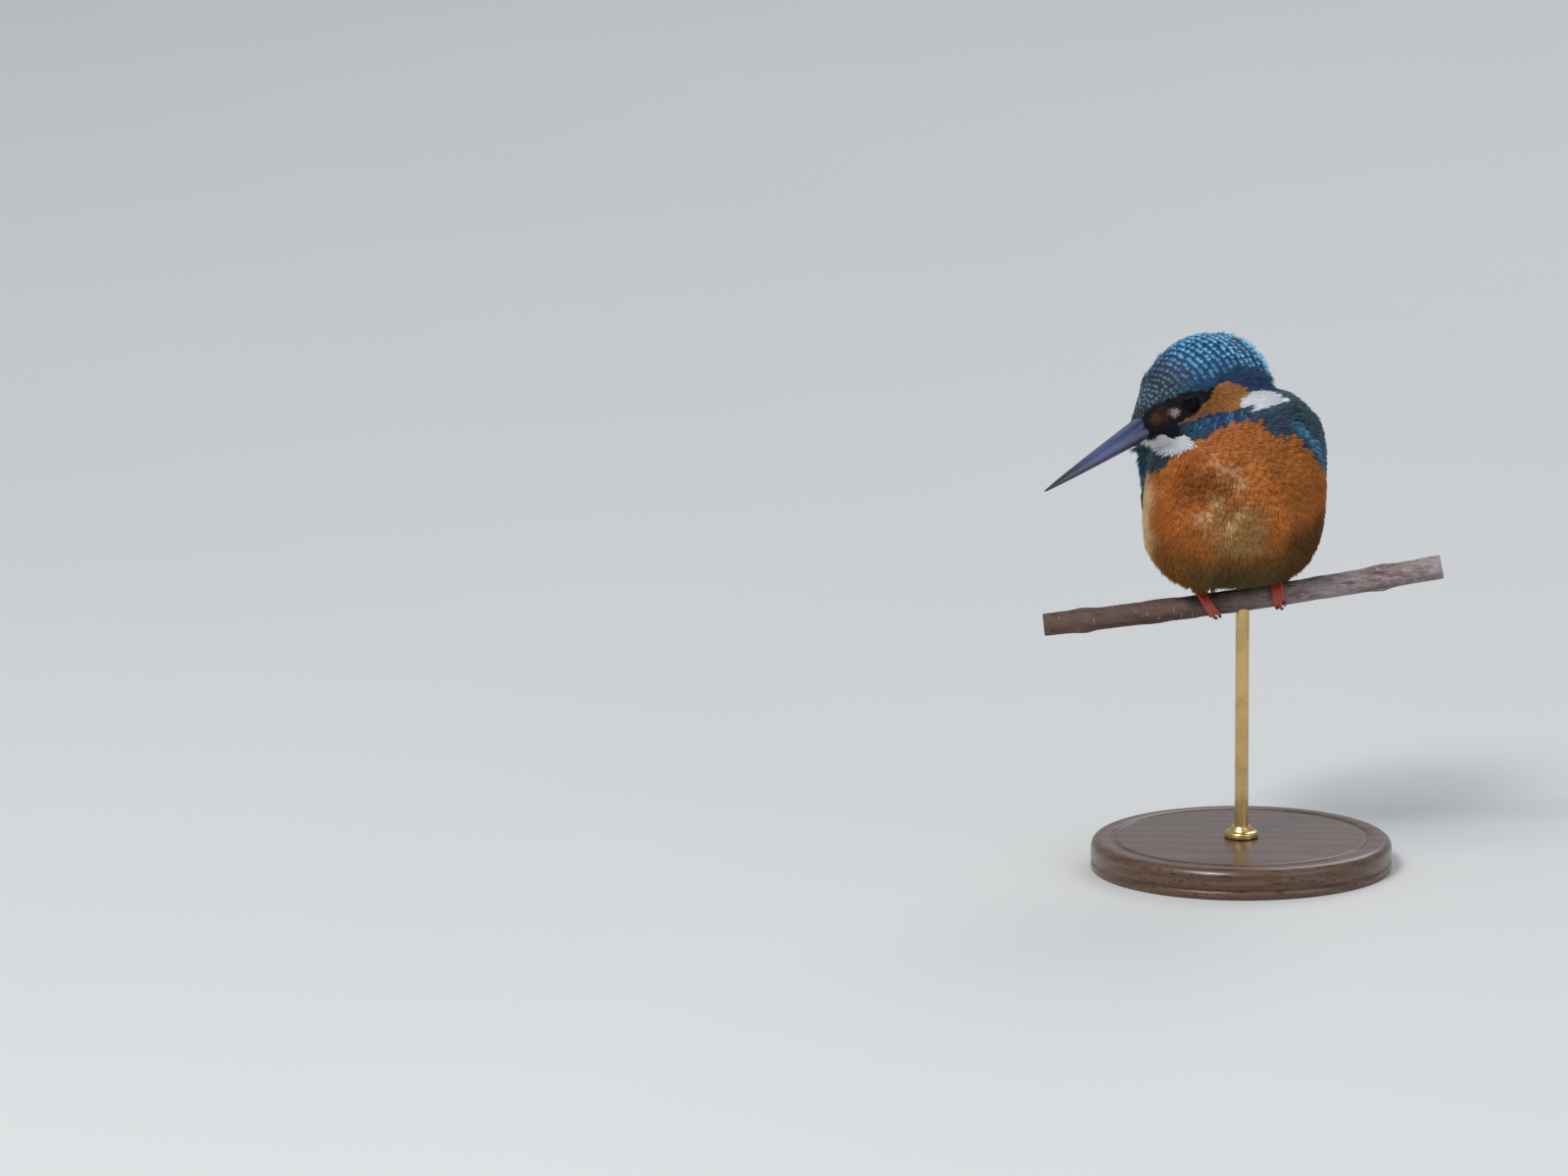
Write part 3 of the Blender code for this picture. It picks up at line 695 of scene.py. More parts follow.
def feather_tree() -> bpy.types.NodeTree:
    """The group that lays a feather at each root and bends it over the body.

    Each root carries the feather's lie and outward direction, size, curl, colours and the root's place in
    the skin's unwrap.
    """
    solid = {"Geometry": "NodeSocketGeometry"}
    given = {**solid, "Vanes": "NodeSocketCollection", "Finish": "NodeSocketMaterial", "Patch": "NodeSocketFloat"}
    group, sheet, given, result = group_tree("lay feathers", "GeometryNodeTree", given, solid)
    roots, kinds, finish, patch = tuple(given.outputs)[:4]

    def carried(label: str, kind: str = "FLOAT") -> Socket:
        """A value that each root or vane carries."""
        return sheet.add("GeometryNodeInputNamedAttribute", {"Name": label}, data_type=kind).outputs[0]

    lie, out, size = (carried(label, "FLOAT_VECTOR") for label in ("lie", "out", "size"))
    turn = sheet.add("FunctionNodeAxesToRotation", {0: lie, 1: out}, primary_axis="X", secondary_axis="Z")
    vanes = sheet.add(
        "GeometryNodeCollectionInfo", {"Collection": kinds, "Separate Children": True, "Reset Children": True}
    )
    laid = sheet.add(
        "GeometryNodeInstanceOnPoints",
        {
            "Points": roots,
            "Instance": vanes.outputs[0],
            "Pick Instance": True,
            "Instance Index": carried("variant", "INT"),
            "Rotation": turn.outputs[0],
            "Scale": size,
        },
    )
    real = sheet.add("GeometryNodeRealizeInstances", {"Geometry": laid.outputs[0]}).outputs[0]
    reach = sheet.times(carried("along"), carried("length"))
    fall = sheet.times(sheet.times(reach, reach), sheet.times(carried("curl"), -0.5))
    offset = sheet.vector("SCALE", out, fall)
    bent = sheet.add("GeometryNodeSetPosition", {"Geometry": real, "Offset": offset}).outputs[0]
    vane, root = carried("vane", "FLOAT_VECTOR"), carried("root_uv", "FLOAT_VECTOR")
    within = sheet.vector("SCALE", sheet.vector("SUBTRACT", vane, (0.5, 0.5, 0)), patch)
    last = sheet.add(
        "GeometryNodeStoreNamedAttribute",
        {"Geometry": bent, "Name": "OFBake", "Value": sheet.vector("ADD", within, root)},
        data_type="FLOAT2",
        domain="CORNER",
    ).outputs[0]
    for label in ("lie", "out", "size", "length", "curl", "variant", "root_uv", "along"):
        last = sheet.add("GeometryNodeRemoveAttribute", {"Geometry": last, "Name": label}).outputs[0]
    dressed = sheet.add("GeometryNodeSetMaterial", {"Geometry": last, "Material": finish})
    sheet.feed(result, {0: dressed.outputs[0]})
    return group


def with_tree(source: Piece, tree: bpy.types.NodeTree, values: dict[str, object]) -> Piece:
    """Runs a geometry tree on an object and keeps its result as a plain mesh."""
    modifier = source.modifiers.new(tree.name, "NODES")
    modifier.node_group = tree
    for item in tree.interface.items_tree:
        if item.item_type == "SOCKET" and item.in_out == "INPUT" and item.name in values:
            modifier[item.identifier] = values[item.name]
    return applied(source)


# ---------------------------------------------------------------- the lie and the markings of the coat


class Tract(Enum):
    """The fields that the plumage is laid in."""

    BARE = 0
    CROWN = 1
    LORE = 2
    EAR = 3
    MALAR = 4
    THROAT = 5
    NECK_PATCH = 6
    BREAST = 7
    MANTLE = 8
    RUMP = 9


@dataclass(frozen=True)
class Eye:
    """An eyeball, in the head's frame."""

    radius: float = 3.1
    place: Colour = (3.9, 8.3, 3.5)

    def centre(self, sign: int) -> Array:
        """The eyeball's centre in the model's frame."""
        x, y, z = self.place
        return HEAD.world(np.array((x, sign * y, z)))

    def gaze(self, sign: int) -> Array:
        """The direction in which one eye looks."""
        return unit(HEAD.turned(np.array((0.20, sign * 1.0, 0.10))))


EYE = Eye()


def inside(outline: Outline, along: Array, up: Array) -> Array:
    """Whether each place lies within a closed outline.

    Args:
        outline: its corners, along and up.
        along: the places' first coordinate.
        up: the places' second coordinate.

    Returns:
        One truth value for each place.
    """
    made = np.zeros(len(along), bool)
    for (x1, y1), (x2, y2) in zip(outline, outline[1:] + outline[:1]):
        crosses = (y1 > up) != (y2 > up)
        made ^= crosses & (along < x1 + (up - y1) / ((y2 - y1) or 1.0) * (x2 - x1))
    return made


# Outlines of the head's marks: place along the head, and height on the cheek
EAR_PATCH: Outline = (
    (9.8, -4.7), (7.2, -4.5), (4.8, -4.7), (3.0, -4.4), (1.1, -3.2), (-0.9, -2.1), (-3.5, -0.4), (-6.4, -1.5),
    (-8.8, -3.3), (-11.0, -5.6), (-11.6, -7.2), (-8.6, -7.6), (-6.6, -8.7), (-5.1, -9.8), (-2.2, -8.5), (0.1, -7.6),
    (2.8, -6.6), (6.1, -5.9), (8.9, -5.5), (9.8, -5.3),
)
WHITE_PATCH: Outline = (
    (-11.6, -7.2), (-15.3, -7.6), (-19.7, -9.3), (-20.8, -11.4), (-20.9, -13.4), (-20.4, -14.5), (-19.0, -14.4),
    (-15.4, -13.4), (-12.4, -12.9), (-9.2, -12.7), (-5.1, -9.8), (-6.6, -8.7), (-8.6, -7.6),
)
CHEEK_STRIPE: Outline = (
    (9.9, -5.3), (6.1, -5.9), (2.8, -6.6), (0.1, -7.6), (-4.7, -10.3), (-8.9, -12.8), (-9.4, -14.1), (-4.6, -13.3),
    (-0.5, -12.0), (2.5, -11.3), (4.6, -11.2), (6.8, -11.4), (8.3, -10.8), (8.9, -9.1), (9.8, -7.2), (10.1, -6.1),
)


class Pigment:
    """The coat's colours."""

    CROWN_BLUE: Colour = (0.018, 0.066, 0.175)
    CROWN_GREY: Colour = (0.026, 0.038, 0.060)
    CROWN_SIDE: Colour = (0.023, 0.062, 0.140)
    BAR_AZURE: Colour = (0.20, 0.68, 1.00)
    BAR_GREY: Colour = (0.25, 0.44, 0.59)
    BAR_PALE: Colour = (0.37, 0.52, 0.62)
    BAR_GREEN: Colour = (0.05, 0.30, 0.36)
    BAR_DIM: Colour = (0.033, 0.115, 0.27)
    LORE_BLACK: Colour = (0.016, 0.014, 0.017)
    EAR_RUFOUS: Colour = (0.45, 0.200, 0.064)
    EAR_BROWN: Colour = (0.32, 0.130, 0.038)
    GAPE_PINK: Colour = (0.36, 0.14, 0.085)
    MALAR_BLUE: Colour = (0.011, 0.028, 0.092)
    MALAR_FRONT: Colour = (0.010, 0.038, 0.066)
    MALAR_MARK: Colour = (0.020, 0.066, 0.20)
    MALAR_MARK_FRONT: Colour = (0.026, 0.12, 0.21)
    MALAR_STREAK: Colour = (0.075, 0.32, 0.54)
    WHITE: Colour = (0.92, 0.94, 0.99)
    BUFF: Colour = (0.62, 0.50, 0.36)
    RUFOUS: Colour = (0.58, 0.187, 0.040)
    RUFOUS_DEEP: Colour = (0.44, 0.130, 0.028)
    CHEST_LEFT: Colour = (0.38, 0.132, 0.028)
    FLANK_RIGHT: Colour = (0.52, 0.155, 0.026)
    BELLY_BUFF: Colour = (0.38, 0.250, 0.096)
    FLECK: Colour = (1.00, 0.64, 0.34)
    GORGET: Colour = (0.25, 0.068, 0.014)
    # Partly the lower belly's own olive-brown, partly painted shade where the belly turns under
    BELLY_LOW: Colour = (0.140, 0.082, 0.024)
    FLANK_LOW: Colour = (0.38, 0.118, 0.018)
    # Painted shade: a dimming factor for the lower breast
    LOW_SHADE: Colour = (0.80, 0.91, 0.97)
    # Painted shade on the lower left side of the belly
    BELLY_DARK: Colour = (0.11, 0.046, 0.010)
    # Painted rim light along the edge of the right flank
    PALE_RIM: Colour = (1.00, 0.68, 0.34)
    COLLAR: Colour = (0.45, 0.147, 0.042)
    MANTLE_GREEN: Colour = (0.014, 0.075, 0.115)
    MANTLE_SLATE: Colour = (0.030, 0.060, 0.098)
    MANTLE_GREEN_MARK: Colour = (0.026, 0.15, 0.21)
    MANTLE_SLATE_MARK: Colour = (0.046, 0.092, 0.145)
    MANTLE_RIM: Colour = (0.011, 0.040, 0.056)
    MANTLE_RIM_MARK: Colour = (0.026, 0.10, 0.14)
    BAND: Colour = (0.016, 0.12, 0.30)
    BAND_MARK: Colour = (0.035, 0.20, 0.38)
    BAND_STREAK: Colour = (0.17, 0.52, 0.74)
    RUMP_AZURE: Colour = (0.020, 0.28, 0.62)
    RUMP_EDGE: Colour = (0.014, 0.16, 0.42)
    RUMP_MARK: Colour = (0.08, 0.56, 0.90)
    RUMP_EDGE_MARK: Colour = (0.035, 0.36, 0.72)
    COVERT: Colour = (0.012, 0.070, 0.110)
    COVERT_SPOT: Colour = (0.07, 0.42, 0.66)


class Markings:
    """Where each tract of the plumage lies and what colour it has, at places given in millimetres."""

    # Lower edge of the crown, and of its bars: place along the head, and height on the cheek
    crown_edge = (
        (-27, -13.8), (-20.9, -11.4), (-19.7, -9.3), (-15.3, -7.6), (-11.7, -6.9), (-11, -5.6), (-8.8, -3.3),
        (-6.4, -1.5), (-3.5, -0.4), (-1.9, -0.7), (0, -0.9), (1.7, 0.6), (4.6, 2.2), (6.8, 2.1), (10, 2.8),
        (13.2, 2.6), (15.4, 2.2), (16.8, 0.8),
    )
    bars_edge = ((-26, -5.5), (-18.3, -1.5), (-14.3, -0.4), (-8.4, 0.9), (-3, 1.7), (1.5, 1.2))
    throat_edge = ((0, -10.2), (4, -9.9), (9, -9.4), (12.2, -7.6), (13.2, -5.5))  # lower edge, over the width
    throat_top = ((8.0, -11.4), (8.9, -9.1), (12, -7.2), (15.1, -5.6), (17, -5.0))
    # Degrees from the back at which the blue mantle gives way to the rufous underparts, up the trunk, on each side
    mantle_edge = (
        (-45, 70), (-30, 75), (-15, 82), (0, 87), (13, 90), (17.5, 94), (20, 103), (27, 104), (29.5, 102),
        (31.2, 98), (31.8, 106), (32.4, 113), (33.2, 112), (34.1, 107), (35.1, 99), (36.4, 90), (37, 76), (40, 60),
    )
    right_mantle_edge = (
        (-45, 70), (-30, 75), (-15, 80), (0, 84), (13, 87), (18, 90), (20.5, 98), (22, 103), (25.5, 107), (28, 107),
        (31, 105), (33, 104), (35, 99), (36.4, 90), (37, 76), (40, 60),
    )
    # Colour, place in the head's frame, radius and share of the spots on each side of the face
    lore_spots = (
        ((0.045, 0.023, 0.016), (13.2, 5.9, 2.9), 2.6, 0.8),
        ((0.105, 0.050, 0.017), (15.1, 4.6, 2.3), 1.9, 0.9),
        ((0.15, 0.085, 0.080), (11.0, 7.1, 3.2), 1.3, 0.8),
        ((0.34, 0.27, 0.27), (10.0, 7.4, 2.6), 1.25, 1.0),
    )
    # Middle of the azure band in front of the wing, in degrees from the back, up the trunk
    band_middle = ((18, 104), (20, 102), (21.7, 99.5), (25.5, 96.2), (28.4, 94), (30.8, 91), (32.3, 87), (34, 81))

    def __init__(self, points: Array) -> None:
        """Reads the places in the head's and the trunk's frames."""
        self.points = points
        ragged = 0.30 * np.stack([noise(points, 1.1, seed) for seed in (1, 2, 3)], axis=1)
        self.head = HEAD.local(points + ragged)
        x, y, z = self.head.T
        self.x, self.z, self.wide = x, z, np.abs(y)
        self.cheek = 0.86 * z - 0.5 * self.wide
        self.left, back, self.up = TRUNK.local(points + ragged).T
        self.round_trunk = np.degrees(np.arctan2(np.abs(self.left), back))
        self.over_edge = self.cheek - self.edge(self.crown_edge, x)
        self.tract = self.tracts()

    def edge(self, knots: Outline, at: Array) -> Array:
        """An edge of a mark, read at places along it."""
        return np.interp(at, *zip(*knots))

    def tracts(self) -> Array:
        """The tract at each place."""
        x, z, wide, cheek = self.x, self.z, self.wide, self.cheek
        made = np.full(len(x), Tract.BREAST.value)
        left, right = self.edge(self.mantle_edge, self.up), self.edge(self.right_mantle_edge, self.up)
        made[self.round_trunk < np.where(self.left > 0, left, right)] = Tract.MANTLE.value
        stripe = 5.0 + 4.5 * rise(self.up, 14, -26)
        made[(np.abs(self.left) < stripe) & (self.round_trunk < 70) & (self.up < 17)] = Tract.RUMP.value
        crown = self.edge(self.crown_edge, x) - 2.0 * rise(-self.head[:, 1], 0, 2) * rise(x, 4, 8)
        near = (x > -26.5) & (z > -16) & (((x + 6) / 25) ** 2 + (wide / 25) ** 2 < 1)
        under = near & (cheek <= crown)
        made[near & (cheek > crown) & (z > -7)] = Tract.CROWN.value
        made[under & (x > -2.6) & (cheek > -5.5) & (z > -2.6)] = Tract.LORE.value
        chin = near & (x > 8.6) & (z < -1.6) & (z > self.edge(self.throat_edge, wide)) & (wide < 13)
        made[chin] = Tract.LORE.value
        below = (wide < 5.5) & (z < -3 - 0.8 * rise(x, 14.5, 16.5))
        made[chin & ((cheek < self.edge(self.throat_top, x)) | below)] = Tract.THROAT.value
        made[under & (wide > 6) & inside(CHEEK_STRIPE, x, cheek)] = Tract.MALAR.value
        made[under & inside(EAR_PATCH, x, cheek)] = Tract.EAR.value
        made[under & inside(WHITE_PATCH, x, cheek)] = Tract.NECK_PATCH.value
        ring = np.linalg.norm(np.stack((x, wide, z), axis=1) - np.array(EYE.place), axis=1)
        made[(ring < EYE.radius + 0.35) & (made != Tract.EAR.value)] = Tract.LORE.value
        return made

    def near_spot(self, place: Sequence[float], radius: float) -> Array:
        """How much of a round spot on each side of the head covers each place."""
        gap = np.stack((self.x, self.wide, self.z), axis=1) - np.array(place)
        return rise(np.linalg.norm(gap, axis=1), radius * 1.35, radius * 0.6)

    def colours(self) -> Shades:
        """The tint of a feather rooted at each place, and the colour of its mark."""
        makers = {
            Tract.CROWN: self.crown,
            Tract.LORE: self.lore,
            Tract.EAR: self.ear,
            Tract.MALAR: self.malar,
            Tract.THROAT: self.white,
            Tract.NECK_PATCH: self.white,
            Tract.BREAST: self.breast,
            Tract.MANTLE: self.mantle,
            Tract.RUMP: self.rump,
        }
        tint = np.zeros((len(self.x), 3))
        mark = np.zeros((len(self.x), 3))
        for tract, maker in makers.items():
            chosen = self.tract == tract.value
            if chosen.any():
                tint[chosen], mark[chosen] = (colour[chosen] for colour in maker())
        return tint, mark

    def crown(self) -> Shades:
        """Dark feathers with azure bars, greyer and whiter in front, plain dark above the ear, and brighter on top as
        painted light.
        """
        front = rise(self.x, -2, 9)
        band = rise(self.edge(self.bars_edge, self.x) - self.cheek, -0.9, 0.5) * rise(self.x, 3, -1)
        brow = rise(self.over_edge, 3.2, 1.0) * rise(self.x, -4, 0) * rise(self.x, 11, 7)
        tint = layered(mix(Pigment.CROWN_BLUE, Pigment.CROWN_GREY, front), (Pigment.CROWN_SIDE, band))
        bright = layered(
            mix(Pigment.BAR_AZURE, Pigment.BAR_GREY, front),
            (Pigment.BAR_PALE, rise(self.x, 6, 13) * 0.6),
            (Pigment.BAR_GREEN, brow),
            (Pigment.BAR_DIM, band),
        )
        # Painted top light: the bars brighten from the crown's lower edge to its top, where the light falls
        lift = 0.56 + 0.42 * rise(self.over_edge, 3.5, 11)
        return tint, bright * (lift * (1 + 0.2 * noise(self.points, 2.2, 11)))[:, None]

    def lore(self) -> Shades:
        """Black, with a rufous spot above the gape and a bare-looking greyish pink one before the eye."""
        tint = np.tile(Pigment.LORE_BLACK, (len(self.x), 1))
        for colour, place, radius, share in self.lore_spots:
            tint = mix(tint, colour, self.near_spot(place, radius) * share)
        return tint, tint * 1.3

    def ear(self) -> Shades:
        """Rufous, browner towards the eye, and pinker where it runs on to the gape."""
        tint = mix(Pigment.EAR_RUFOUS, Pigment.EAR_BROWN, rise(self.x, -6, 1))
        tint = mix(tint, Pigment.GAPE_PINK, rise(self.x, 1, 6) * 0.85)
        return tint, tint * 1.25

    def malar(self) -> Shades:
        """A blue stripe with fine lighter streaks, greener in front."""
        front = rise(self.x, 0, 8)
        light = rise(noise(self.points * (1, 1, 0.6), 0.9, 9), 0.0, 0.5)
        mark = mix(mix(Pigment.MALAR_MARK, Pigment.MALAR_MARK_FRONT, front), Pigment.MALAR_STREAK, light)
        return mix(Pigment.MALAR_BLUE, Pigment.MALAR_FRONT, front), mark

    def white(self) -> Shades:
        """White, with a breath of buff at the neck patch's upper rim."""
        tint = np.tile(Pigment.WHITE, (len(self.x), 1))
        buff = rise(self.over_edge, -1.0, 0) * (self.tract == Tract.NECK_PATCH.value)
        return mix(tint, Pigment.BUFF, buff * 0.6), np.full_like(tint, 1.0)

    def breast(self) -> Shades:
        """Warm rufous, darker on the chest's sides and paler at the belly's middle and the vent, with painted shade
        and rim light.
        """
        left, up = self.left, self.up
        angle = self.round_trunk + 7 * noise(self.points, 4.5, 23)
        on_right, on_left = rise(-left, 2, 8), rise(left, 2, 8)
        patches = noise(self.points, 7.0, 21)
        specks = rise(noise(self.points, 2.4, 5), -0.05, 0.5)
        middle = rise(np.abs(left - 1), 11, 3) * rise(np.abs(up - 16), 10, 3) * rise(angle, 130, 165)
        gorget = rise(np.abs(up - 26), 5, 1) * rise(angle, 100, 130) * rise(np.abs(left + 9), 12, 4)
        # Where a painted rim light runs along the right flank's edge
        rim = rise(angle, 127, 107) * rise(angle, 86, 96) * rise(np.abs(up - 5), 19, 11)
        tint = layered(
            mix(Pigment.RUFOUS, Pigment.RUFOUS_DEEP, rise(patches, -0.1, 0.6)),
            (Pigment.CHEST_LEFT, on_left * rise(angle, 150, 136) * rise(up, 16, 22) * 0.8),
            (Pigment.FLANK_RIGHT, on_right * rise(angle, 150, 132) * rise(up, 23, 18)),
            (Pigment.BELLY_BUFF, middle * (0.8 + 0.2 * patches)),
            (Pigment.FLECK, rise(np.abs(left + 4), 9.0, 3) * rise(np.abs(up - 24), 9, 3) * specks * 0.8),
            (Pigment.GORGET, gorget * 0.85),
            # The lower belly and flanks darken, partly their own colour and partly painted shade where the belly
            # turns under
            (mix(Pigment.BELLY_LOW, Pigment.FLANK_LOW, on_right * rise(angle, 166, 132)), rise(up, 12, 1)),
        )
        # Painted shade: the lower breast is dimmed and greyed towards the bottom
        tint = layered(
            tint * mix((1.0, 1.0, 1.0), Pigment.LOW_SHADE, rise(up, 16, 5)),
            # Painted shade on the belly's lower left side
            (Pigment.BELLY_DARK, on_left * rise(up, 18, 8) * rise(np.abs(angle - 134), 26, 10) * 0.9),
            # Painted rim light on the right flank's edge
            (Pigment.PALE_RIM, on_right * rim * 0.9),
            (Pigment.COLLAR, rise(up, 29, 33) * 0.8),
        )
        tint = tint * (1 + 0.16 * noise(self.points, 3.4, 22) + 0.10 * patches)[:, None]
        return tint, tint * 1.25

    def mantle(self) -> Shades:
        """Soft slate blue on the shoulders, blue-green behind, with an azure band along the wing's bend."""
        on_left = self.left > 0
        high = rise(self.up, 10, 29)
        off = (self.round_trunk - self.edge(self.band_middle, self.up) + 18.0 * (self.left < 0)) * 0.47
        rim = rise(off, -1.5, -5) * high
        band = rise(np.abs(off), 2.6, 1.0) * rise(self.up, 18.5, 20.5) * rise(self.up, 34, 31.5)
        band = band * np.where(on_left, 1.0, 0.2)
        streak = 0.5 + 0.5 * noise(TRUNK.local(self.points) * (1, 1, 0.45), 0.9, 33)
        azure = mix(Pigment.BAND_MARK, Pigment.BAND_STREAK, streak)
        tint = mix(Pigment.MANTLE_GREEN, Pigment.MANTLE_SLATE, high)
        mark = mix(Pigment.MANTLE_GREEN_MARK, Pigment.MANTLE_SLATE_MARK, high)
        tint = layered(tint, (Pigment.MANTLE_RIM, rim), (Pigment.BAND, band))
        mark = layered(mark, (Pigment.MANTLE_RIM_MARK, rim), (azure, band))
        lift = (0.9 + 0.2 * noise(self.points, 4.0, 31)) * np.where((self.left < 0) & (self.up > 8), 0.72, 1.0)
        return tint * lift[:, None], mark * lift[:, None]

    def rump(self) -> Shades:
        """The brilliant azure stripe from the mantle to the tail."""
        edge = rise(np.abs(self.left), 3.5, 7.5)
        tint = mix(Pigment.RUMP_AZURE, Pigment.RUMP_EDGE, edge)
        return tint, mix(Pigment.RUMP_MARK, Pigment.RUMP_EDGE_MARK, edge)

    def lie(self, outs: Array) -> Array:
        """The way that the feathers point: back from the bill over the head, then down the trunk."""
        away = unit(HEAD.turned(HEAD.local(self.points) - (24.0, 0, 0.5)))
        down = -TRUNK.axes[2]
        outwards = TRUNK.axes[0] * (0.22 * np.clip(self.left / 20, -1, 1))[:, None]
        body = unit(down + outwards)
        share = rise(self.x, -9, -24) + rise(self.z + 0.25 * self.wide, -3, -12)
        flow = away * (1 - np.clip(share, 0, 1))[:, None] + body * np.clip(share, 0, 1)[:, None]
        flow = flow - outs * dots(flow, outs)[:, None]
        return unit(flow)


# ---------------------------------------------------------------- the skin


def coat_depth(points: Array) -> Array:
    """How deep the plumage is at places given in millimetres, from its outer surface to the skin."""
    head = HEAD.local(points)
    on_head = rise(np.linalg.norm(head + (6, 0, 0), axis=1), 26, 19)
    face = rise(head[:, 0], -2, 9) * on_head
    depth = 1.75 - 0.65 * on_head - 0.55 * face
    for sign in SIDES.values():
        gap = np.linalg.norm(points - EYE.centre(sign), axis=1)
        depth = depth + (0.30 - depth) * rise(gap, 6.0, 4.2)
    up = TRUNK.local(points)[:, 2]
    return depth - 0.5 * rise(up, -26, -40)


@dataclass(frozen=True)
class Foot:
    """A foot that grips the perch: three front toes, joined at the base, a hind toe and the tarsus."""

    spread: float = 10.3
    radius: float = 0.88
    pitch: float = 1.3
    start: float = 100.0  # degrees round the perch: 0 is the front, 90 the top
    toes: tuple = (("inner", -1, -14.0), ("middle", 0, -46.0), ("outer", 1, -34.0), ("hind", 0, 196.0))
    claw_start: float = 9.0  # degrees past the toe's last angle
    claw_sweep: float = 42.0
    shank_radii: tuple = (1.3, 1.15, 1.1, 1.15, 1.4)
    knee_height: float = 12.0
    knee_back: float = 7.5
    gap: float = 0.3
    voxel: float = 0.17

    def grip(self, x: float, degrees: float, out: float) -> Array:
        """A point over the perch's bark, in model millimetres."""
        angle = math.radians(degrees)
        up = PERCH.up(x)
        radius = PERCH.radius(x) + self.gap + out
        return PERCH.centre(x) + np.array((0, -math.cos(angle), 0)) * radius + up * (math.sin(angle) * radius)

    def toe(self, sign: int, offset: float, end: float, steps: int = 12) -> Array:
        """The middle line of a toe, from the ankle round the perch."""
        skew = 4.0 if sign < 0 and end < self.start else 0.0
        rows = []
        for t in np.linspace(0, 1, steps):
            x = sign * (self.spread - offset * self.pitch * (0.45 + 0.55 * t)) + skew * (t - 0.62)
            rows.append(self.grip(x, self.start + (end - self.start) * t, self.radius))
        return np.array(rows)

    def shank(self, sign: int) -> Array:
        """The middle line of the tarsus, from the ankle into the belly."""
        ankle = self.grip(sign * self.spread, self.start, self.radius)
        lift = PERCH.slope * sign * self.spread + self.knee_height
        knee = POSE.over_perch((sign * (self.spread - 1), self.knee_back, lift))
        return ankle + (knee - ankle) * np.linspace(0, 1, 9)[:, None]

    def flesh(self, side: str) -> Piece:
        """The scaly skin of one foot as a closed mesh, with the toes' joints and scutes."""
        sign = SIDES[side]
        parts, lines = [], []
        for name, offset, end in self.toes:
            path = self.toe(sign, offset, end, 40)
            t = np.linspace(0, 1, 40)
            joints = 0.035 * np.cos(t * math.tau * 3.5)
            radii = self.radius * (1.06 - 0.20 * t - 0.22 * t**6 + joints)
            parts.append(swept(f"toe_{name}", path, radii, 20))
            lines.append(path)
        shank = self.shank(sign)
        steps = np.linspace(0, 1, 30)
        fine = np.stack([np.interp(steps, np.linspace(0, 1, 9), shank[:, i]) for i in range(3)], axis=1)
        radii = np.interp(steps, np.linspace(0, 1, len(self.shank_radii)), self.shank_radii)
        parts.append(swept("shank", fine, radii - 0.05, 20))
        lines.append(fine)
        foot = blended(joined(f"foot_{side}", parts), self.voxel, 3)
        self.scutes(foot, lines)
        return foot

    def scutes(self, foot: Piece, lines: list[Array]) -> None:
        """Raises the rows of scutes along each toe's upper side."""
        points = coordinates(foot.data)
        outs = normals(foot.data)
        best = np.full(len(points), 1e9)
        along = np.zeros(len(points))
        middle = np.zeros_like(points)
        for line in lines:
            places = np.concatenate([[0], np.cumsum(np.linalg.norm(np.diff(line, axis=0), axis=1))])
            steps = np.linspace(0, places[-1], 160)
            fine = np.stack([np.interp(steps, places, line[:, i]) for i in range(3)], axis=1)
            gaps = np.linalg.norm(points[:, None] - fine[None], axis=2)
            pick = gaps.argmin(axis=1)
            closer = gaps.min(axis=1) < best
            best = np.where(closer, gaps.min(axis=1), best)
            along = np.where(closer, steps[pick], along)
            middle[closer] = fine[pick][closer]
        away = unit(middle - np.array([PERCH.centre(x) for x in middle[:, 0]]))
        upper = rise(dots(unit(points - middle), away), -0.2, 0.5)
        saw = (along / 1.05) % 1.0
        ridge = np.sin(np.pi * saw) ** 0.5 - 0.75
        pads = np.cos(along / 0.5 * math.tau) * 0.3
        move_points(foot.data, points + outs * (0.045 * ridge * upper + 0.03 * pads * (1 - upper))[:, None])


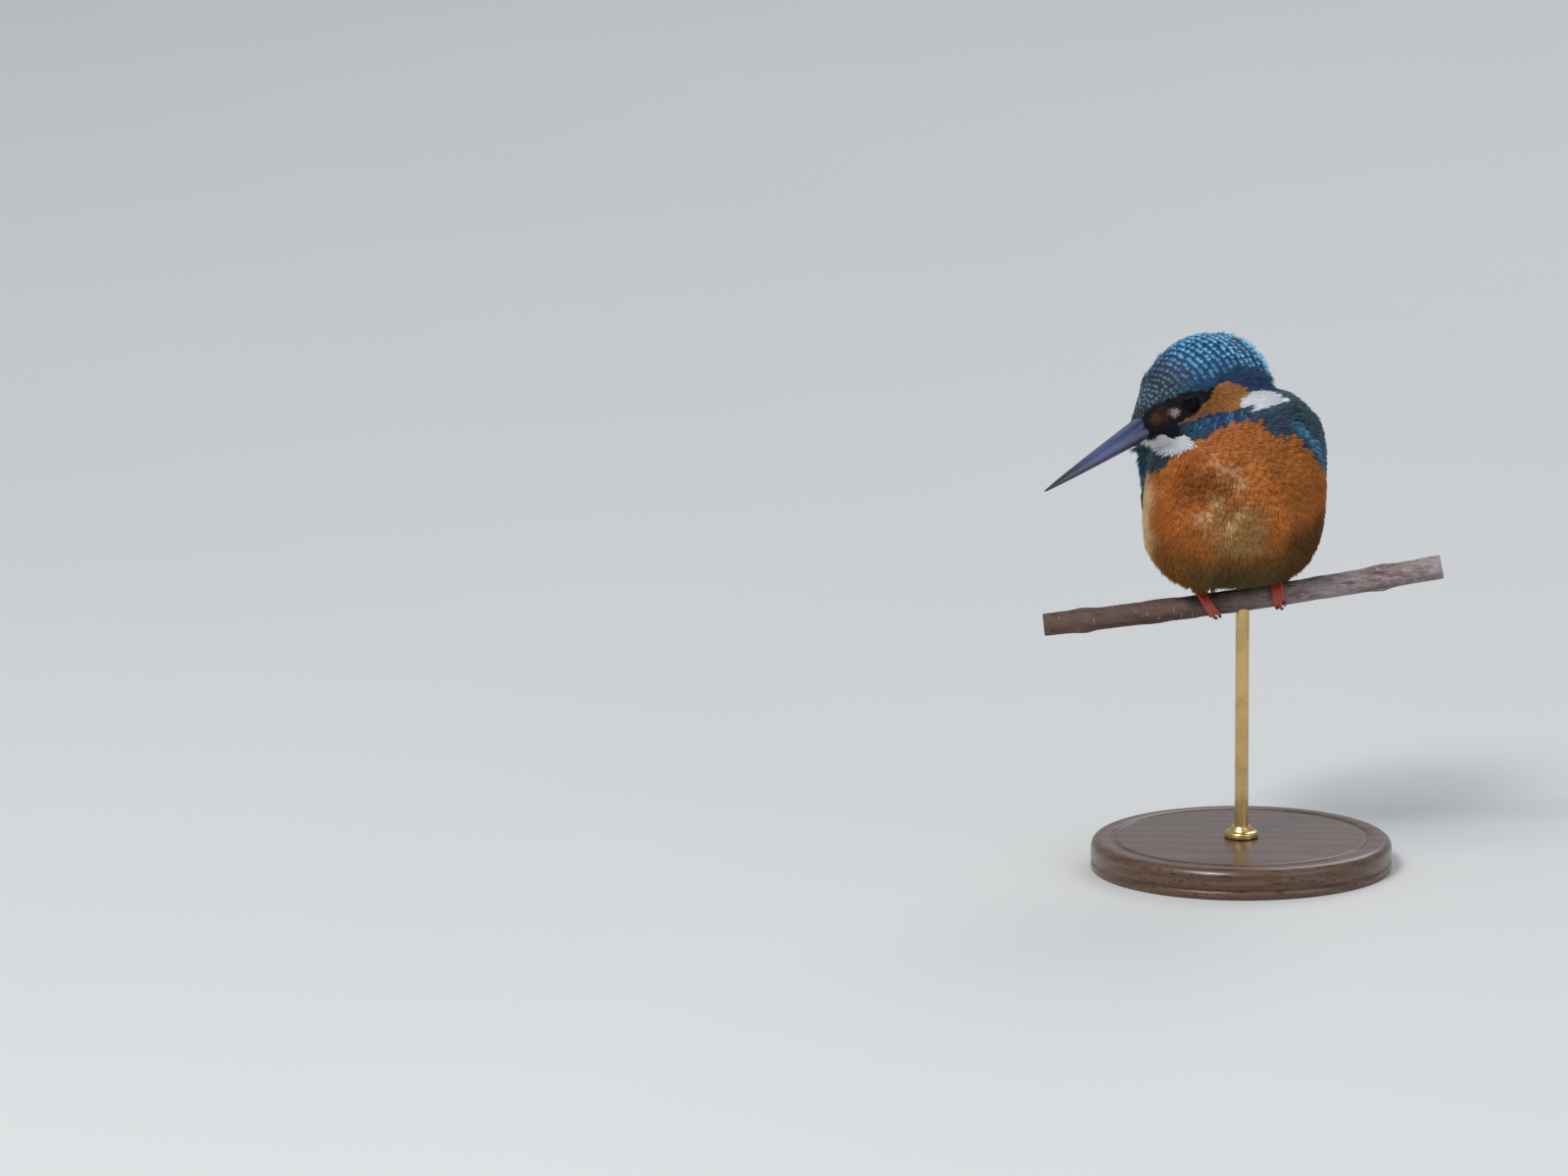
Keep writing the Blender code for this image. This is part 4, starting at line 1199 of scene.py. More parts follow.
@dataclass(frozen=True)
class Lids:
    """The thin lids that ring an eyeball."""

    clearance: float = 0.05
    thickness: float = 0.24
    half_height: float = 40.0  # of the opening, in degrees round the eyeball
    half_width: float = 70.0
    tilt: float = math.radians(14)  # rear corner up
    # radius's share of the lid's thickness, and degrees past the opening's edge
    section: tuple = ((0, 45), (0, 12), (0, 1), (0.5, -2.5), (1, 1), (1.05, 7), (0.8, 18), (-0.6, 42))

    def axes(self, sign: int) -> tuple[Array, Array, Array]:
        """One eye's gaze and the opening's long and short directions."""
        axis = EYE.gaze(sign)
        ahead = unit(HEAD.axes[0] - axis * (HEAD.axes[0] @ axis))
        above = np.cross(axis, ahead) * sign
        c, s = math.cos(self.tilt), math.sin(self.tilt)
        return axis, ahead * c - above * s, above * c + ahead * s

    def opening(self, c: Array) -> Array:
        """The opening's edge in degrees off the gaze, at a turn with cosine c from its long direction."""
        return self.half_height + (self.half_width - self.half_height) * np.abs(c) ** 2.4

    def past(self, points: Array) -> Array:
        """How many degrees each place lies past the edge of the nearer eye's opening; 180 off the lids."""
        made = np.full(len(points), 180.0)
        for sign in SIDES.values():
            axis, ahead, _ = self.axes(sign)
            away = points - EYE.centre(sign)
            off = np.degrees(np.arccos(np.clip(unit(away) @ axis, -1, 1)))
            flat = unit(away - axis * (away @ axis)[:, None])
            on_lid = np.linalg.norm(away, axis=1) < EYE.radius + 0.6
            made = np.where(on_lid, off - self.opening(flat @ ahead), made)
        return made

    def build(self, sign: int) -> Piece:
        """A closed ring over one eyeball, with an almond opening."""
        axis, ahead, above = self.axes(sign)
        rows = []
        for turn in np.linspace(0, math.tau, 81)[:-1]:
            c, s = math.cos(turn), math.sin(turn)
            opening = self.opening(c)
            spoke = ahead * c + above * s
            ring = []
            for share, past in self.section:
                angle = math.radians(min(opening + past, 108))
                radius = EYE.radius + self.clearance + self.thickness * share
                ring.append(EYE.centre(sign) + (axis * math.cos(angle) + spoke * math.sin(angle)) * radius)
            rows.append(ring)
        return looped("lids", np.array(rows))


LIDS = Lids()


@dataclass(frozen=True)
class SkinFinish(Finish):
    """Thin skin under the plumage and scaly coral-red skin on the feet."""

    name: str = "bird_skin"

    def inputs(self, sheet: Sheet) -> dict[str, object]:
        """Speckled skin, creased and glossier where it is scaly."""
        place, scaly = sheet.place(), sheet.value("scaly")
        cells = sheet.add("ShaderNodeTexVoronoi", {"Vector": place, "Scale": 3400.0}, feature="DISTANCE_TO_EDGE")
        crease = sheet.step(cells.outputs["Distance"], 0.0, 0.10)
        shade = sheet.add("ShaderNodeMix", {0: scaly, 2: 1.0, 3: sheet.line(crease, 0.14, 0.88)}).outputs[0]
        shade = sheet.times(shade, sheet.line(sheet.noise(place, 900.0, 4.0), 0.3, 0.85))
        return {
            "Base Color": sheet.vector("SCALE", sheet.layer("tint"), shade),
            "Normal": sheet.bump(0.25, 0.00003, sheet.times(crease, scaly)),
            "Roughness": sheet.line(scaly, -0.34, 0.66),
            "Coat Weight": sheet.times(scaly, 0.35),
            "Coat Roughness": 0.2,
            "Specular IOR Level": sheet.line(scaly, 0.35, 0.1),
        }


class Skin:
    """The one skin of the bird: its body under the coat, with the lids and the feet grown into it."""

    voxel = 0.65
    swell = 0.35
    bill_end = 18.7  # where the bill's and the wings' cores are cut off, along the head and the trunk
    wing_end = -30.0

    def body(self) -> Piece:
        """The body's surface, inside the CAD solids by the coat's depth."""
        bill_cut = (HEAD.world(np.array((self.bill_end, 0, 0))), HEAD.axes[0])
        wing_cut = (TRUNK.world(np.array((0, 0, self.wing_end))), -TRUNK.axes[2])
        pieces = [cad_copy(node, self.swell) for node in ("head", "neck", "trunk", "eye_left", "eye_right")]
        pieces += [cad_copy(node, self.swell, bill_cut) for node in ("bill_upper", "bill_lower")]
        pieces += [cad_copy(node, self.swell, wing_cut) for node in ("wing_left", "wing_right")]
        body = blended(joined("skin", pieces), self.voxel, 5)
        points = coordinates(body.data)
        depth = coat_depth(points) + self.swell - 0.72 * rise(HEAD.local(points)[:, 0], 14.6, 16.4)
        points = points - normals(body.data) * depth[:, None]
        move_points(body.data, self.narrowed(points))
        return softened(body, 3)

    def narrowed(self, points: Array) -> Array:
        """Draws the front of the face in to the bill's root."""
        x, y, z = HEAD.local(points).T
        out = np.hypot(y, z + 1.6)
        limit = 4.12 - 0.085 * np.maximum(x - 15, 0) + 0.95 * np.maximum(15.8 - x, 0)
        share = np.where((x > 10) & (out > limit), limit / out, 1.0)
        share = share + (1 - share) * rise(out, 9.5, 12.5)
        return HEAD.world(np.stack((x, y * share, (z + 1.6) * share - 1.6), axis=1))

    def build(self) -> Piece:
        """The whole skin, painted and unwrapped."""
        skin = self.body()
        for sign in SIDES.values():
            socket = ball("socket", EYE.centre(sign), EYE.radius + 0.03, 48)
            combined(skin, socket, "DIFFERENCE")
            combined(skin, LIDS.build(sign), "UNION")
        for side in SIDES:
            combined(skin, FOOT.flesh(side), "UNION")
        self.unwrap(skin)
        self.paint(skin)
        skin.data.materials.clear()
        skin.data.materials.append(SkinFinish().material())
        skin.data.shade_smooth()
        return skin

    def unwrap(self, skin: Piece) -> None:
        """Unwraps the skin by its own shape."""
        bpy.context.view_layer.objects.active = skin
        skin.select_set(True)
        bpy.ops.object.mode_set(mode="EDIT")
        bpy.ops.mesh.select_all(action="SELECT")
        bpy.ops.uv.smart_project(angle_limit=math.radians(60), island_margin=0.002)
        bpy.ops.object.mode_set(mode="OBJECT")
        skin.select_set(False)
        skin.data.uv_layers[0].name = "OFBake"

    def paint(self, skin: Piece) -> None:
        """Gives the skin the markings of the coat over it, and the feet and lids their own colours."""
        mesh = skin.data
        points = coordinates(mesh)
        tint, mark = Markings(points).colours()
        colour = mix(tint, mark, np.full(len(points), 0.12)) * 0.85
        near_foot = np.abs(np.abs(points[:, 0]) - FOOT.spread) < 6
        scaly = (self.over_perch(points) < 7.2) & near_foot & (np.abs(points[:, 1]) < 9)
        scaly &= (TRUNK.local(points)[:, 2] < 4) & self.off_belly(points)
        red = mix((0.34, 0.030, 0.014), (0.42, 0.055, 0.030), 0.5 + 0.5 * noise(points, 1.2, 4))
        colour = np.where(scaly[:, None], red, colour)
        colour = np.where((LIDS.past(points) < 14)[:, None], (0.010, 0.008, 0.008), colour)
        paint(mesh, "tint", colour)
        store(mesh, "scaly", "FLOAT", scaly.astype(float))
        centres = read(mesh.polygons, "center", 3).astype(float) / MM
        tracts = Markings(centres).tract.copy()
        bare = (np.abs(self.over_perch(centres)) < 7.5) & self.off_belly(centres)
        tracts[bare | (LIDS.past(centres) < 7)] = Tract.BARE.value
        x, y, z = HEAD.local(centres).T
        inner = np.hypot(y, z + 1.7)
        tracts[((x > 18.2) & (inner < 6)) | ((x > 12.5) & (inner < 2.9))] = Tract.BARE.value
        layer = mesh.attributes.new("tract", "INT", "FACE")
        layer.data.foreach_set("value", tracts.astype(np.int32))

    def over_perch(self, points: Array) -> Array:
        """How high each place is over the perch's middle line."""
        return points[:, 2] - POSE.perch_height - PERCH.slope * points[:, 0]

    def off_belly(self, points: Array) -> Array:
        """Whether a place is on a foot, close to its bones' lines."""
        made = np.zeros(len(points), bool)
        for sign in SIDES.values():
            lines = [FOOT.toe(sign, offset, end, 24) for _, offset, end in FOOT.toes] + [FOOT.shank(sign)]
            line = np.concatenate(lines)
            near = np.abs(points[:, 0] - sign * FOOT.spread) < 8
            gaps = np.full(len(points), 9.0)
            gaps[near] = np.linalg.norm(points[near][:, None] - line[None], axis=2).min(axis=1)
            made |= gaps < 1.55
        return made


def ball(name: str, centre: Array, radius: float, segments: int) -> Piece:
    """A closed ball."""
    form = bmesh.new()
    bmesh.ops.create_uvsphere(form, u_segments=segments, v_segments=segments // 2, radius=radius * MM)
    bmesh.ops.translate(form, vec=Vector(centre * MM), verts=form.verts)
    return from_form(name, form)


class Ground:
    """The skin's surface as the coat sees it: nearest places with their normals and their unwrap."""

    def __init__(self, skin: Piece) -> None:
        """Reads the skin's triangles."""
        mesh = skin.data
        mesh.calc_loop_triangles()
        self.corners = read(mesh.loop_triangles, "vertices", 3, np.int32)
        loops = read(mesh.loop_triangles, "loops", 3, np.int32)
        self.maps = read(mesh.uv_layers[0].data, "uv", 2)[loops].astype(float)
        self.points = coordinates(mesh)
        self.normals = normals(mesh)
        self.tree = BVHTree.FromPolygons(self.points.tolist(), self.corners.tolist())

    def read(self, found: list) -> tuple[Array, Array, Array]:
        """Places, normals and unwrap at the hits of a search."""
        places = np.array([hit[0] for hit in found], float)
        index = np.array([hit[2] for hit in found])
        a, b, c = (self.points[self.corners[index, i]] for i in range(3))
        full = np.cross(b - a, c - a)
        area = np.maximum(dots(full, full), 1e-12)
        first = dots(np.cross(b - places, c - places), full) / area
        second = dots(np.cross(c - places, a - places), full) / area
        share = np.clip(np.stack((first, second, 1 - first - second), axis=1), 0, 1)
        outs = unit(np.einsum("ij,ijk->ik", share, self.normals[self.corners[index]]))
        return places, outs, np.einsum("ij,ijk->ik", share, self.maps[index])

    def nearest(self, points: Array) -> tuple[Array, Array, Array]:
        """The skin's nearest place to each point, its normal and its unwrap."""
        return self.read([self.tree.find_nearest(Vector(p)) for p in points])

    def height(self, points: Array) -> Array:
        """How far each point stands over the skin."""
        places, outs, _ = self.nearest(points)
        return dots(points - places, outs)


# ---------------------------------------------------------------- feathers


class Tuft:
    """A loose contour feather, 1 long on X and 1 wide on Y: a few slightly different fans of fine barbs."""

    def __init__(self, name: str, seed: int, barbs: int, spread: float, barb_width: float, ragged: float) -> None:
        """Keeps the fan's sizes and builds the variants."""
        self.barbs = barbs
        self.spread = spread
        self.barb_width = barb_width
        self.ragged = ragged
        self.variants = 4
        self.collection = bpy.data.collections.new(name)
        rng = np.random.default_rng(seed)
        for index in range(self.variants):
            points, faces, across, along = self.form(rng)
            mesh = bpy.data.meshes.new(f"{name}_{index}")
            mesh.from_pydata(points.tolist(), [], faces)
            store(mesh, "along", "FLOAT", along)
            map_points(mesh, "vane", np.stack((across, along), axis=1))
            mesh.shade_smooth()
            self.collection.objects.link(bpy.data.objects.new(mesh.name, mesh))

    def form(self, rng: np.random.Generator) -> tuple[Array, list, Array, Array]:
        """A fan of barbs, each a three-sided blade that runs out to a point.

        Args:
            rng: gives each barb its own length and lie.

        Returns:
            Points, faces, and each point's place across and along the feather.
        """
        points, faces, across, along = [], [], [], []
        stations = np.array((0.0, 0.42, 0.78))
        widths = np.array((0.6, 1.0, 0.62)) * self.barb_width / 2
        for barb in np.linspace(-1, 1, self.barbs):
            tip = 1 - 0.22 * barb * barb - self.ragged * rng.random()
            side = 0.5 * self.spread * barb + 0.05 * rng.standard_normal()
            lift = 0.05 * rng.standard_normal()
            start = len(points)
            for t, half in zip(stations, widths):
                x, y, z = tip * t, side * t**0.8, lift * t - 0.10 * barb * barb
                points += [(x, y - half, z), (x, y, z + half * 0.45), (x, y + half, z)]
                across += [0.5 + y - half, 0.5 + y, 0.5 + y + half]
                along += [x] * 3
            points.append((tip, side, lift - 0.10 * barb * barb))
            across.append(0.5 + side)
            along.append(tip)
            faces.append([start + 2, start + 1, start])
            for ring in (start, start + 3):
                for i in range(3):
                    j = (i + 1) % 3
                    faces.append([ring + i, ring + j, ring + 3 + j, ring + 3 + i])
            for i in range(3):
                faces.append([start + 6 + i, start + 6 + (i + 1) % 3, start + 9])
        return np.array(points), faces, np.clip(np.array(across), 0, 1), np.array(along)

    def clear(self) -> None:
        """Removes the unit meshes."""
        for made in list(self.collection.objects):
            dropped(made)
        bpy.data.collections.remove(self.collection)


@dataclass
class Plumes:
    """Many feathers, one row each, in millimetres."""

    places: Array
    outs: Array
    overs: Array
    lies: Array
    maps: Array
    lengths: Array
    widths: Array
    curls: Array
    tints: Array
    marks: Array


@dataclass(frozen=True)
class Growth:
    """How the feathers of one tract grow."""

    tract: Tract
    spacing: float
    length: float
    width: float
    rise_angle: float
    stand: float = 1.0  # height of the tips, as a share of the coat's depth
    swing: float = 7.0  # degrees of stray turn
    shade: float = 0.10  # stray brightness
    stray: float = 0.12  # stray length
    taper: float = 0.0  # share by which the feathers get smaller towards the bill
    crest: float = 0.0  # how much higher the tips stand on the nape
    hang: float = 0.0  # how much longer and looser the feathers are at the belly's foot
    flank: float = 0.0  # how far those of the right flank's foot hang straight down
    brow: float = 0.0  # how much higher the tips stand over the right eye


class Coat:
    """Scatters roots over the skin, grows feathers from them and lays them with the trees."""

    def __init__(self, skin: Piece) -> None:
        """Reads the skin and builds the trees."""
        self.skin = skin
        self.ground = Ground(skin)
        self.scatter = scatter_tree()
        self.feathers = feather_tree()

    def roots(self, tract: Tract, spacing: float) -> Array:
        """Evenly spaced places over a tract of the skin."""
        copy = linked("roots", self.skin.data.copy())
        with_tree(copy, self.scatter, {"Tract": tract.value, "Spacing": spacing * MM, "Seed": 100 + tract.value})
        places = coordinates(copy.data)
        dropped(copy)
        return places

    def grow(self, growth: Growth, places: Array, seed: int) -> Plumes:
        """Turns roots into feathers.

        Args:
            growth: how they grow.
            places: the roots, in model millimetres.
            seed: picks the stray sizes and turns.

        Returns:
            The feathers.
        """
        rng = np.random.default_rng(seed)
        places, outs, maps = self.ground.nearest(places)
        marks = Markings(places)
        lies = marks.lie(outs)
        count = len(places)
        swing = np.radians(growth.swing) * rng.standard_normal(count)
        lies = unit(lies * np.cos(swing)[:, None] + np.cross(outs, lies) * np.sin(swing)[:, None])
        tilt = np.radians(growth.rise_angle * (1 + 0.15 * rng.standard_normal(count)))
        scale = 1 - growth.taper * rise(marks.x, -2, 13)
        length = growth.length * scale * (1 + growth.stray * rng.standard_normal(count).clip(-2, 2))
        raised = lies * np.cos(tilt)[:, None] + outs * np.sin(tilt)[:, None]
        upright = outs * np.cos(tilt)[:, None] - lies * np.sin(tilt)[:, None]
        free = self.ground.height(places + raised * length[:, None])
        target = coat_depth(places).clip(0.4) * growth.stand * (0.92 + 0.08 * rng.standard_normal(count).clip(-2, 1))
        target += growth.crest * rise(marks.x, -16.5, -21) * rise(marks.cheek, -9, -5)
        brow = np.linalg.norm(places - EYE.centre(-1), axis=1)
        target += growth.brow * rise(np.abs(brow - 5.5), 3.0, 1.5) * rise(marks.z, 3, 6)
        hanging = rise(np.abs(marks.up + 4), 12, 4) * rise(marks.round_trunk, 110, 150)
        target += growth.hang * hanging
        length = length + growth.hang * hanging
        loose = growth.flank * rise(-marks.left, 4, 11) * rise(marks.up, 9, 1) * rise(marks.up, -10, -3)
        loose = loose * rise(marks.round_trunk, 84, 100)
        length = length * (1 + 0.45 * loose)
        sag = unit(raised * (1 - loose)[:, None] + np.array((-0.14, -0.05, -1.0)) * loose[:, None])
        hung = self.ground.height(places + sag * length[:, None])
        target = target + (hung - target) * loose
        free = np.where(loose > 0, hung, free)
        upright = unit(upright - sag * dots(upright, sag)[:, None])
        raised = sag
        curls = 2 * (free - target) / length**2
        tints, seconds = marks.colours()
        bright = 1 + growth.shade * rng.standard_normal(count).clip(-2, 2)
        return Plumes(
            places - outs * 0.035 * length[:, None],
            upright,
            outs,
            raised,
            maps,
            length,
            growth.width * scale * (1 + 0.10 * rng.standard_normal(count).clip(-2, 2)),
            curls,
            tints * bright[:, None],
            seconds * bright[:, None],
        )

    def lay(self, name: str, plumes: Plumes, kind: Tuft, finish: Material) -> Piece:
        """Lays feathers as one plain mesh.

        Args:
            name: the piece's name.
            plumes: the feathers.
            kind: their unit meshes.
            finish: their material.

        Returns:
            The piece.
        """
        mesh = bpy.data.meshes.new(name)
        count = len(plumes.places)
        mesh.vertices.add(count)
        mesh.vertices.foreach_set("co", (plumes.places * MM).astype(np.float32).ravel())
        vectors = {
            "lie": plumes.lies,
            "out": plumes.outs,
            "over_body": plumes.overs,
            "size": np.stack((plumes.lengths, plumes.widths, plumes.widths), axis=1) * MM,
            "root_uv": np.concatenate((plumes.maps, np.zeros((count, 1))), axis=1),
        }
        for label, rows in vectors.items():
            store(mesh, label, "FLOAT_VECTOR", rows)
        store(mesh, "length", "FLOAT", plumes.lengths * MM)
        store(mesh, "curl", "FLOAT", plumes.curls / MM)
        store(mesh, "variant", "INT", np.random.default_rng(count).integers(0, kind.variants, count))
        paint(mesh, "tint", plumes.tints)
        paint(mesh, "mark", plumes.marks)
        made = linked(name, mesh)
        with_tree(made, self.feathers, {"Vanes": kind.collection, "Finish": finish, "Patch": PATCH})
        made.data.shade_smooth()
        return made


def triangles(made: Piece) -> int:
    """How many triangles a mesh has."""
    made.data.calc_loop_triangles()
    return len(made.data.loop_triangles)


# ---------------------------------------------------------------- wings and tail


@dataclass(frozen=True)
class Quill:
    """One long feather: its vane's middle line, outward directions, width and colours."""

    path: Array
    outs: Array
    half_width: float
    shaft: float  # the shaft's place across the vane, 0.5 in the middle
    tint: Colour
    mark: Colour
    tip: float = 0.16  # share of the length over which the end rounds off


class QuillPiece:
    """Builds many long feathers as one mesh, each a thin closed vane with a raised shaft."""

    stations = 18
    across = (-1.0, -0.7, -0.35, 0.0, 0.35, 0.7, 1.0)
    under = (0.8, 0.0, -0.8)
    arch = 0.09
    thickness = 0.10

    def __init__(self, name: str) -> None:
        """Starts an empty piece."""
        self.name = name
        self.quills: list[Quill] = []

    def ring(self, quill: Quill, t: float, index: int) -> Array:
        """The closed section of one vane at one station."""
        place, out, ahead = quill.path[index], quill.outs[index], np.gradient(quill.path, axis=0)[index]
        side = unit(np.cross(out, ahead))
        root = rise(np.array(t), -0.05, 0.16)
        end = math.sqrt(max(1 - max((t - 1 + quill.tip) / quill.tip, 0) ** 2, 0.0))
        half = quill.half_width * (0.25 + 0.75 * float(root)) * (0.06 + 0.94 * end)
        nick = 1 - 0.05 * abs(math.sin(index * 7.3 + quill.half_width * 31))
        centre = quill.shaft * 2 - 1

        def at(y: float, lift: float) -> Array:
            """A place across the arched vane."""
            width = y * nick + centre * (1 - y * y) * 0.6
            return place + side * half * width + out * (lift - self.arch * half * y * y)

        top = [at(y, 0.09 * math.exp(-((y / 0.12) ** 2)) * (1 - 0.7 * t)) for y in self.across]
        return np.array(top + [at(y, -self.thickness) for y in self.under])

    def build(self, finish: Material, mirrored: bool = False) -> Piece:
        """Makes the piece.

        Args:
            finish: its material.
            mirrored: whether it is mirrored across the trunk's middle.

        Returns:
            The piece, with the map that its pattern follows and the map that its colours bake through.
        """
        points, faces, maps, cells, tints, marks = [], [], [], [], [], []
        columns = math.ceil(math.sqrt(len(self.quills)))
        across = [(y + 1) / 2 for y in self.across + self.under]
        count = len(across)
        size = self.stations * count
        for number, quill in enumerate(self.quills):
            start = len(points)
            for index, t in enumerate(np.linspace(0, 1, self.stations)):
                points += list(self.ring(quill, t, index))
                maps += [(u, t) for u in across]
            cells += [(number % columns, number // columns)] * size
            tints += [quill.tint] * size
            marks += [quill.mark] * size
            for i in range(self.stations - 1):
                for j in range(count):
                    k = (j + 1) % count
                    low, high = start + i * count, start + (i + 1) * count
                    faces.append((low + j, low + k, high + k, high + j))
            faces.append([start + count - 1 - i for i in range(count)])
            faces.append([start + size - count + i for i in range(count)])
        places = np.array(points)
        if mirrored:
            places = TRUNK.world(TRUNK.local(places) * MIRROR)
        made = outward(mesh_object(self.name, places, faces))
        mesh = made.data
        place = np.array(maps)
        map_points(mesh, "vane", place)
        map_points(mesh, "OFBake", (np.array(cells) + 0.06 + 0.88 * place) / columns)
        paint(mesh, "tint", np.array(tints))
        paint(mesh, "mark", np.array(marks))
        mesh.materials.append(finish)
        return made


@dataclass(frozen=True)
class QuillFinish(Finish):
    """Long feathers: a dark inner web, a coloured outer web and edge, a dark shaft and fine barbs."""

    rim: float = 0.30  # share of the width, from the outer edge, that has the mark's colour

    def inputs(self, sheet: Sheet) -> dict[str, object]:
        """Both webs with their barbs, and the shaft."""
        u, v, _ = sheet.split(sheet.add("ShaderNodeUVMap", uv_map="vane").outputs[0])
        outer = sheet.less(1.0, sheet.step(u, self.rim, self.rim + 0.25))
        colour = sheet.blend(outer, sheet.layer("tint"), sheet.layer("mark"))
        off = sheet.maths("ABSOLUTE", sheet.less(u, 0.5))
        barb = sheet.maths("SINE", sheet.times(sheet.less(v, sheet.times(off, 0.22)), 420.0))
        shaft = sheet.less(1.0, sheet.step(off, 0.015, 0.045))
        colour = sheet.vector("SCALE", colour, sheet.line(barb, 0.10, 0.92))
        return {
            "Base Color": sheet.blend(shaft, colour, (0.012, 0.010, 0.010, 1)),
            "Normal": sheet.bump(0.25, 0.00006, barb),
            "Roughness": 0.5,
            "Sheen Weight": 0.1,
            "Specular IOR Level": 0.4,
        }


@dataclass(frozen=True)
class WingPlan:
    """A folded wing on the trunk's flank: share runs from its bend to its tip, across from its upper edge."""

    front: float = 21.5
    length: float = 74.5
    fullness: float = 2.4
    shift: float = 0.06
    # along the trunk, back, belly, half width
    bed: tuple = (
        (-56, -22.0, -12.5, 6.5),
        (-46, -20.8, -8.5, 10.5),
        (-36, -20.4, -3.5, 15.2),
        (-24, -22.6, 9.5, 22.4),
        (-15, -24.8, 20.0, 26.3),
        (-5, -26.2, 26.8, 27.2),
        (6, -27.0, 27.9, 27.3),
        (16, -26.5, 25.2, 26.6),
        (24, -24.0, 19.0, 24.8),
    )
    # share, upper edge and lower edge in degrees round the trunk from the back
    edges: tuple = (
        (0.00, 56, 68),
        (0.08, 44, 79),
        (0.22, 33, 82),
        (0.42, 25, 81),
        (0.62, 21, 77),
        (0.80, 20, 68),
        (0.92, 22, 52),
        (1.00, 26, 34),
    )

    def point(self, share: Array, across: Array, lift: Array) -> Array:
        """Places of the left wing, in model millimetres."""
        values = (np.atleast_1d(np.asarray(value, float)) for value in (share, across, lift))
        share, across, lift = np.broadcast_arrays(*values)
        upper, lower = self.edges_at(share)
        angle = np.radians(upper + (lower - upper) * across)
        along = self.front - self.length * share
        columns = list(zip(*self.bed))
        back, belly, half_width = (smooth_curve(columns[0], column, along) for column in columns[1:])
        power = 2 / self.fullness
        over = np.sign(np.sin(angle)) * np.abs(np.sin(angle)) ** power
        outwards = np.sign(np.cos(angle)) * np.abs(np.cos(angle)) ** power
        left = self.shift * along + (half_width + lift) * over
        behind = -(belly + back) / 2 + ((belly - back) / 2 + lift) * outwards
        return TRUNK.world(np.stack((left, behind, along), axis=-1))

    def edges_at(self, share: Array) -> tuple[Array, Array]:
        """The angles of the wing's upper and lower edges."""
        columns = list(zip(*self.edges))
        return smooth_curve(columns[0], columns[1], share), smooth_curve(columns[0], columns[2], share)

    def covers(self, points: Array, inset: float) -> Array:
        """Whether the skin at each place lies well under a wing, some degrees from its edges and off its bend."""
        left, back, up = TRUNK.local(points).T
        share = (self.front - up) / self.length
        angle = np.degrees(np.arctan2(np.abs(left), back))
        upper, lower = self.edges_at(share)
        return (share > 0.14) & (share < 0.84) & (angle > upper + inset) & (angle < lower - 3 * inset)

    def quill(self, first: tuple, last: tuple, lifts: tuple, half_width: float, shaft: float, web: Webs) -> Quill:
        """A long feather from one place of the wing to another.

        Args:
            first: the root's share and across.
            last: the tip's share and across.
            lifts: height over the bed at the root and at the tip.
            half_width: half its width.
            shaft: the shaft's place across it.
            web: the inner and the outer web's colours.

        Returns:
            The feather.
        """
        t = np.linspace(0, 1, QuillPiece.stations)
        share, across, lift = (low + (high - low) * t for low, high in zip((*first, lifts[0]), (*last, lifts[1])))
        path = self.point(share, across, lift)
        outs = unit(self.point(share, across, lift + 1.0) - path)
        return Quill(path, outs, half_width, shaft, *web)


WING = WingPlan()


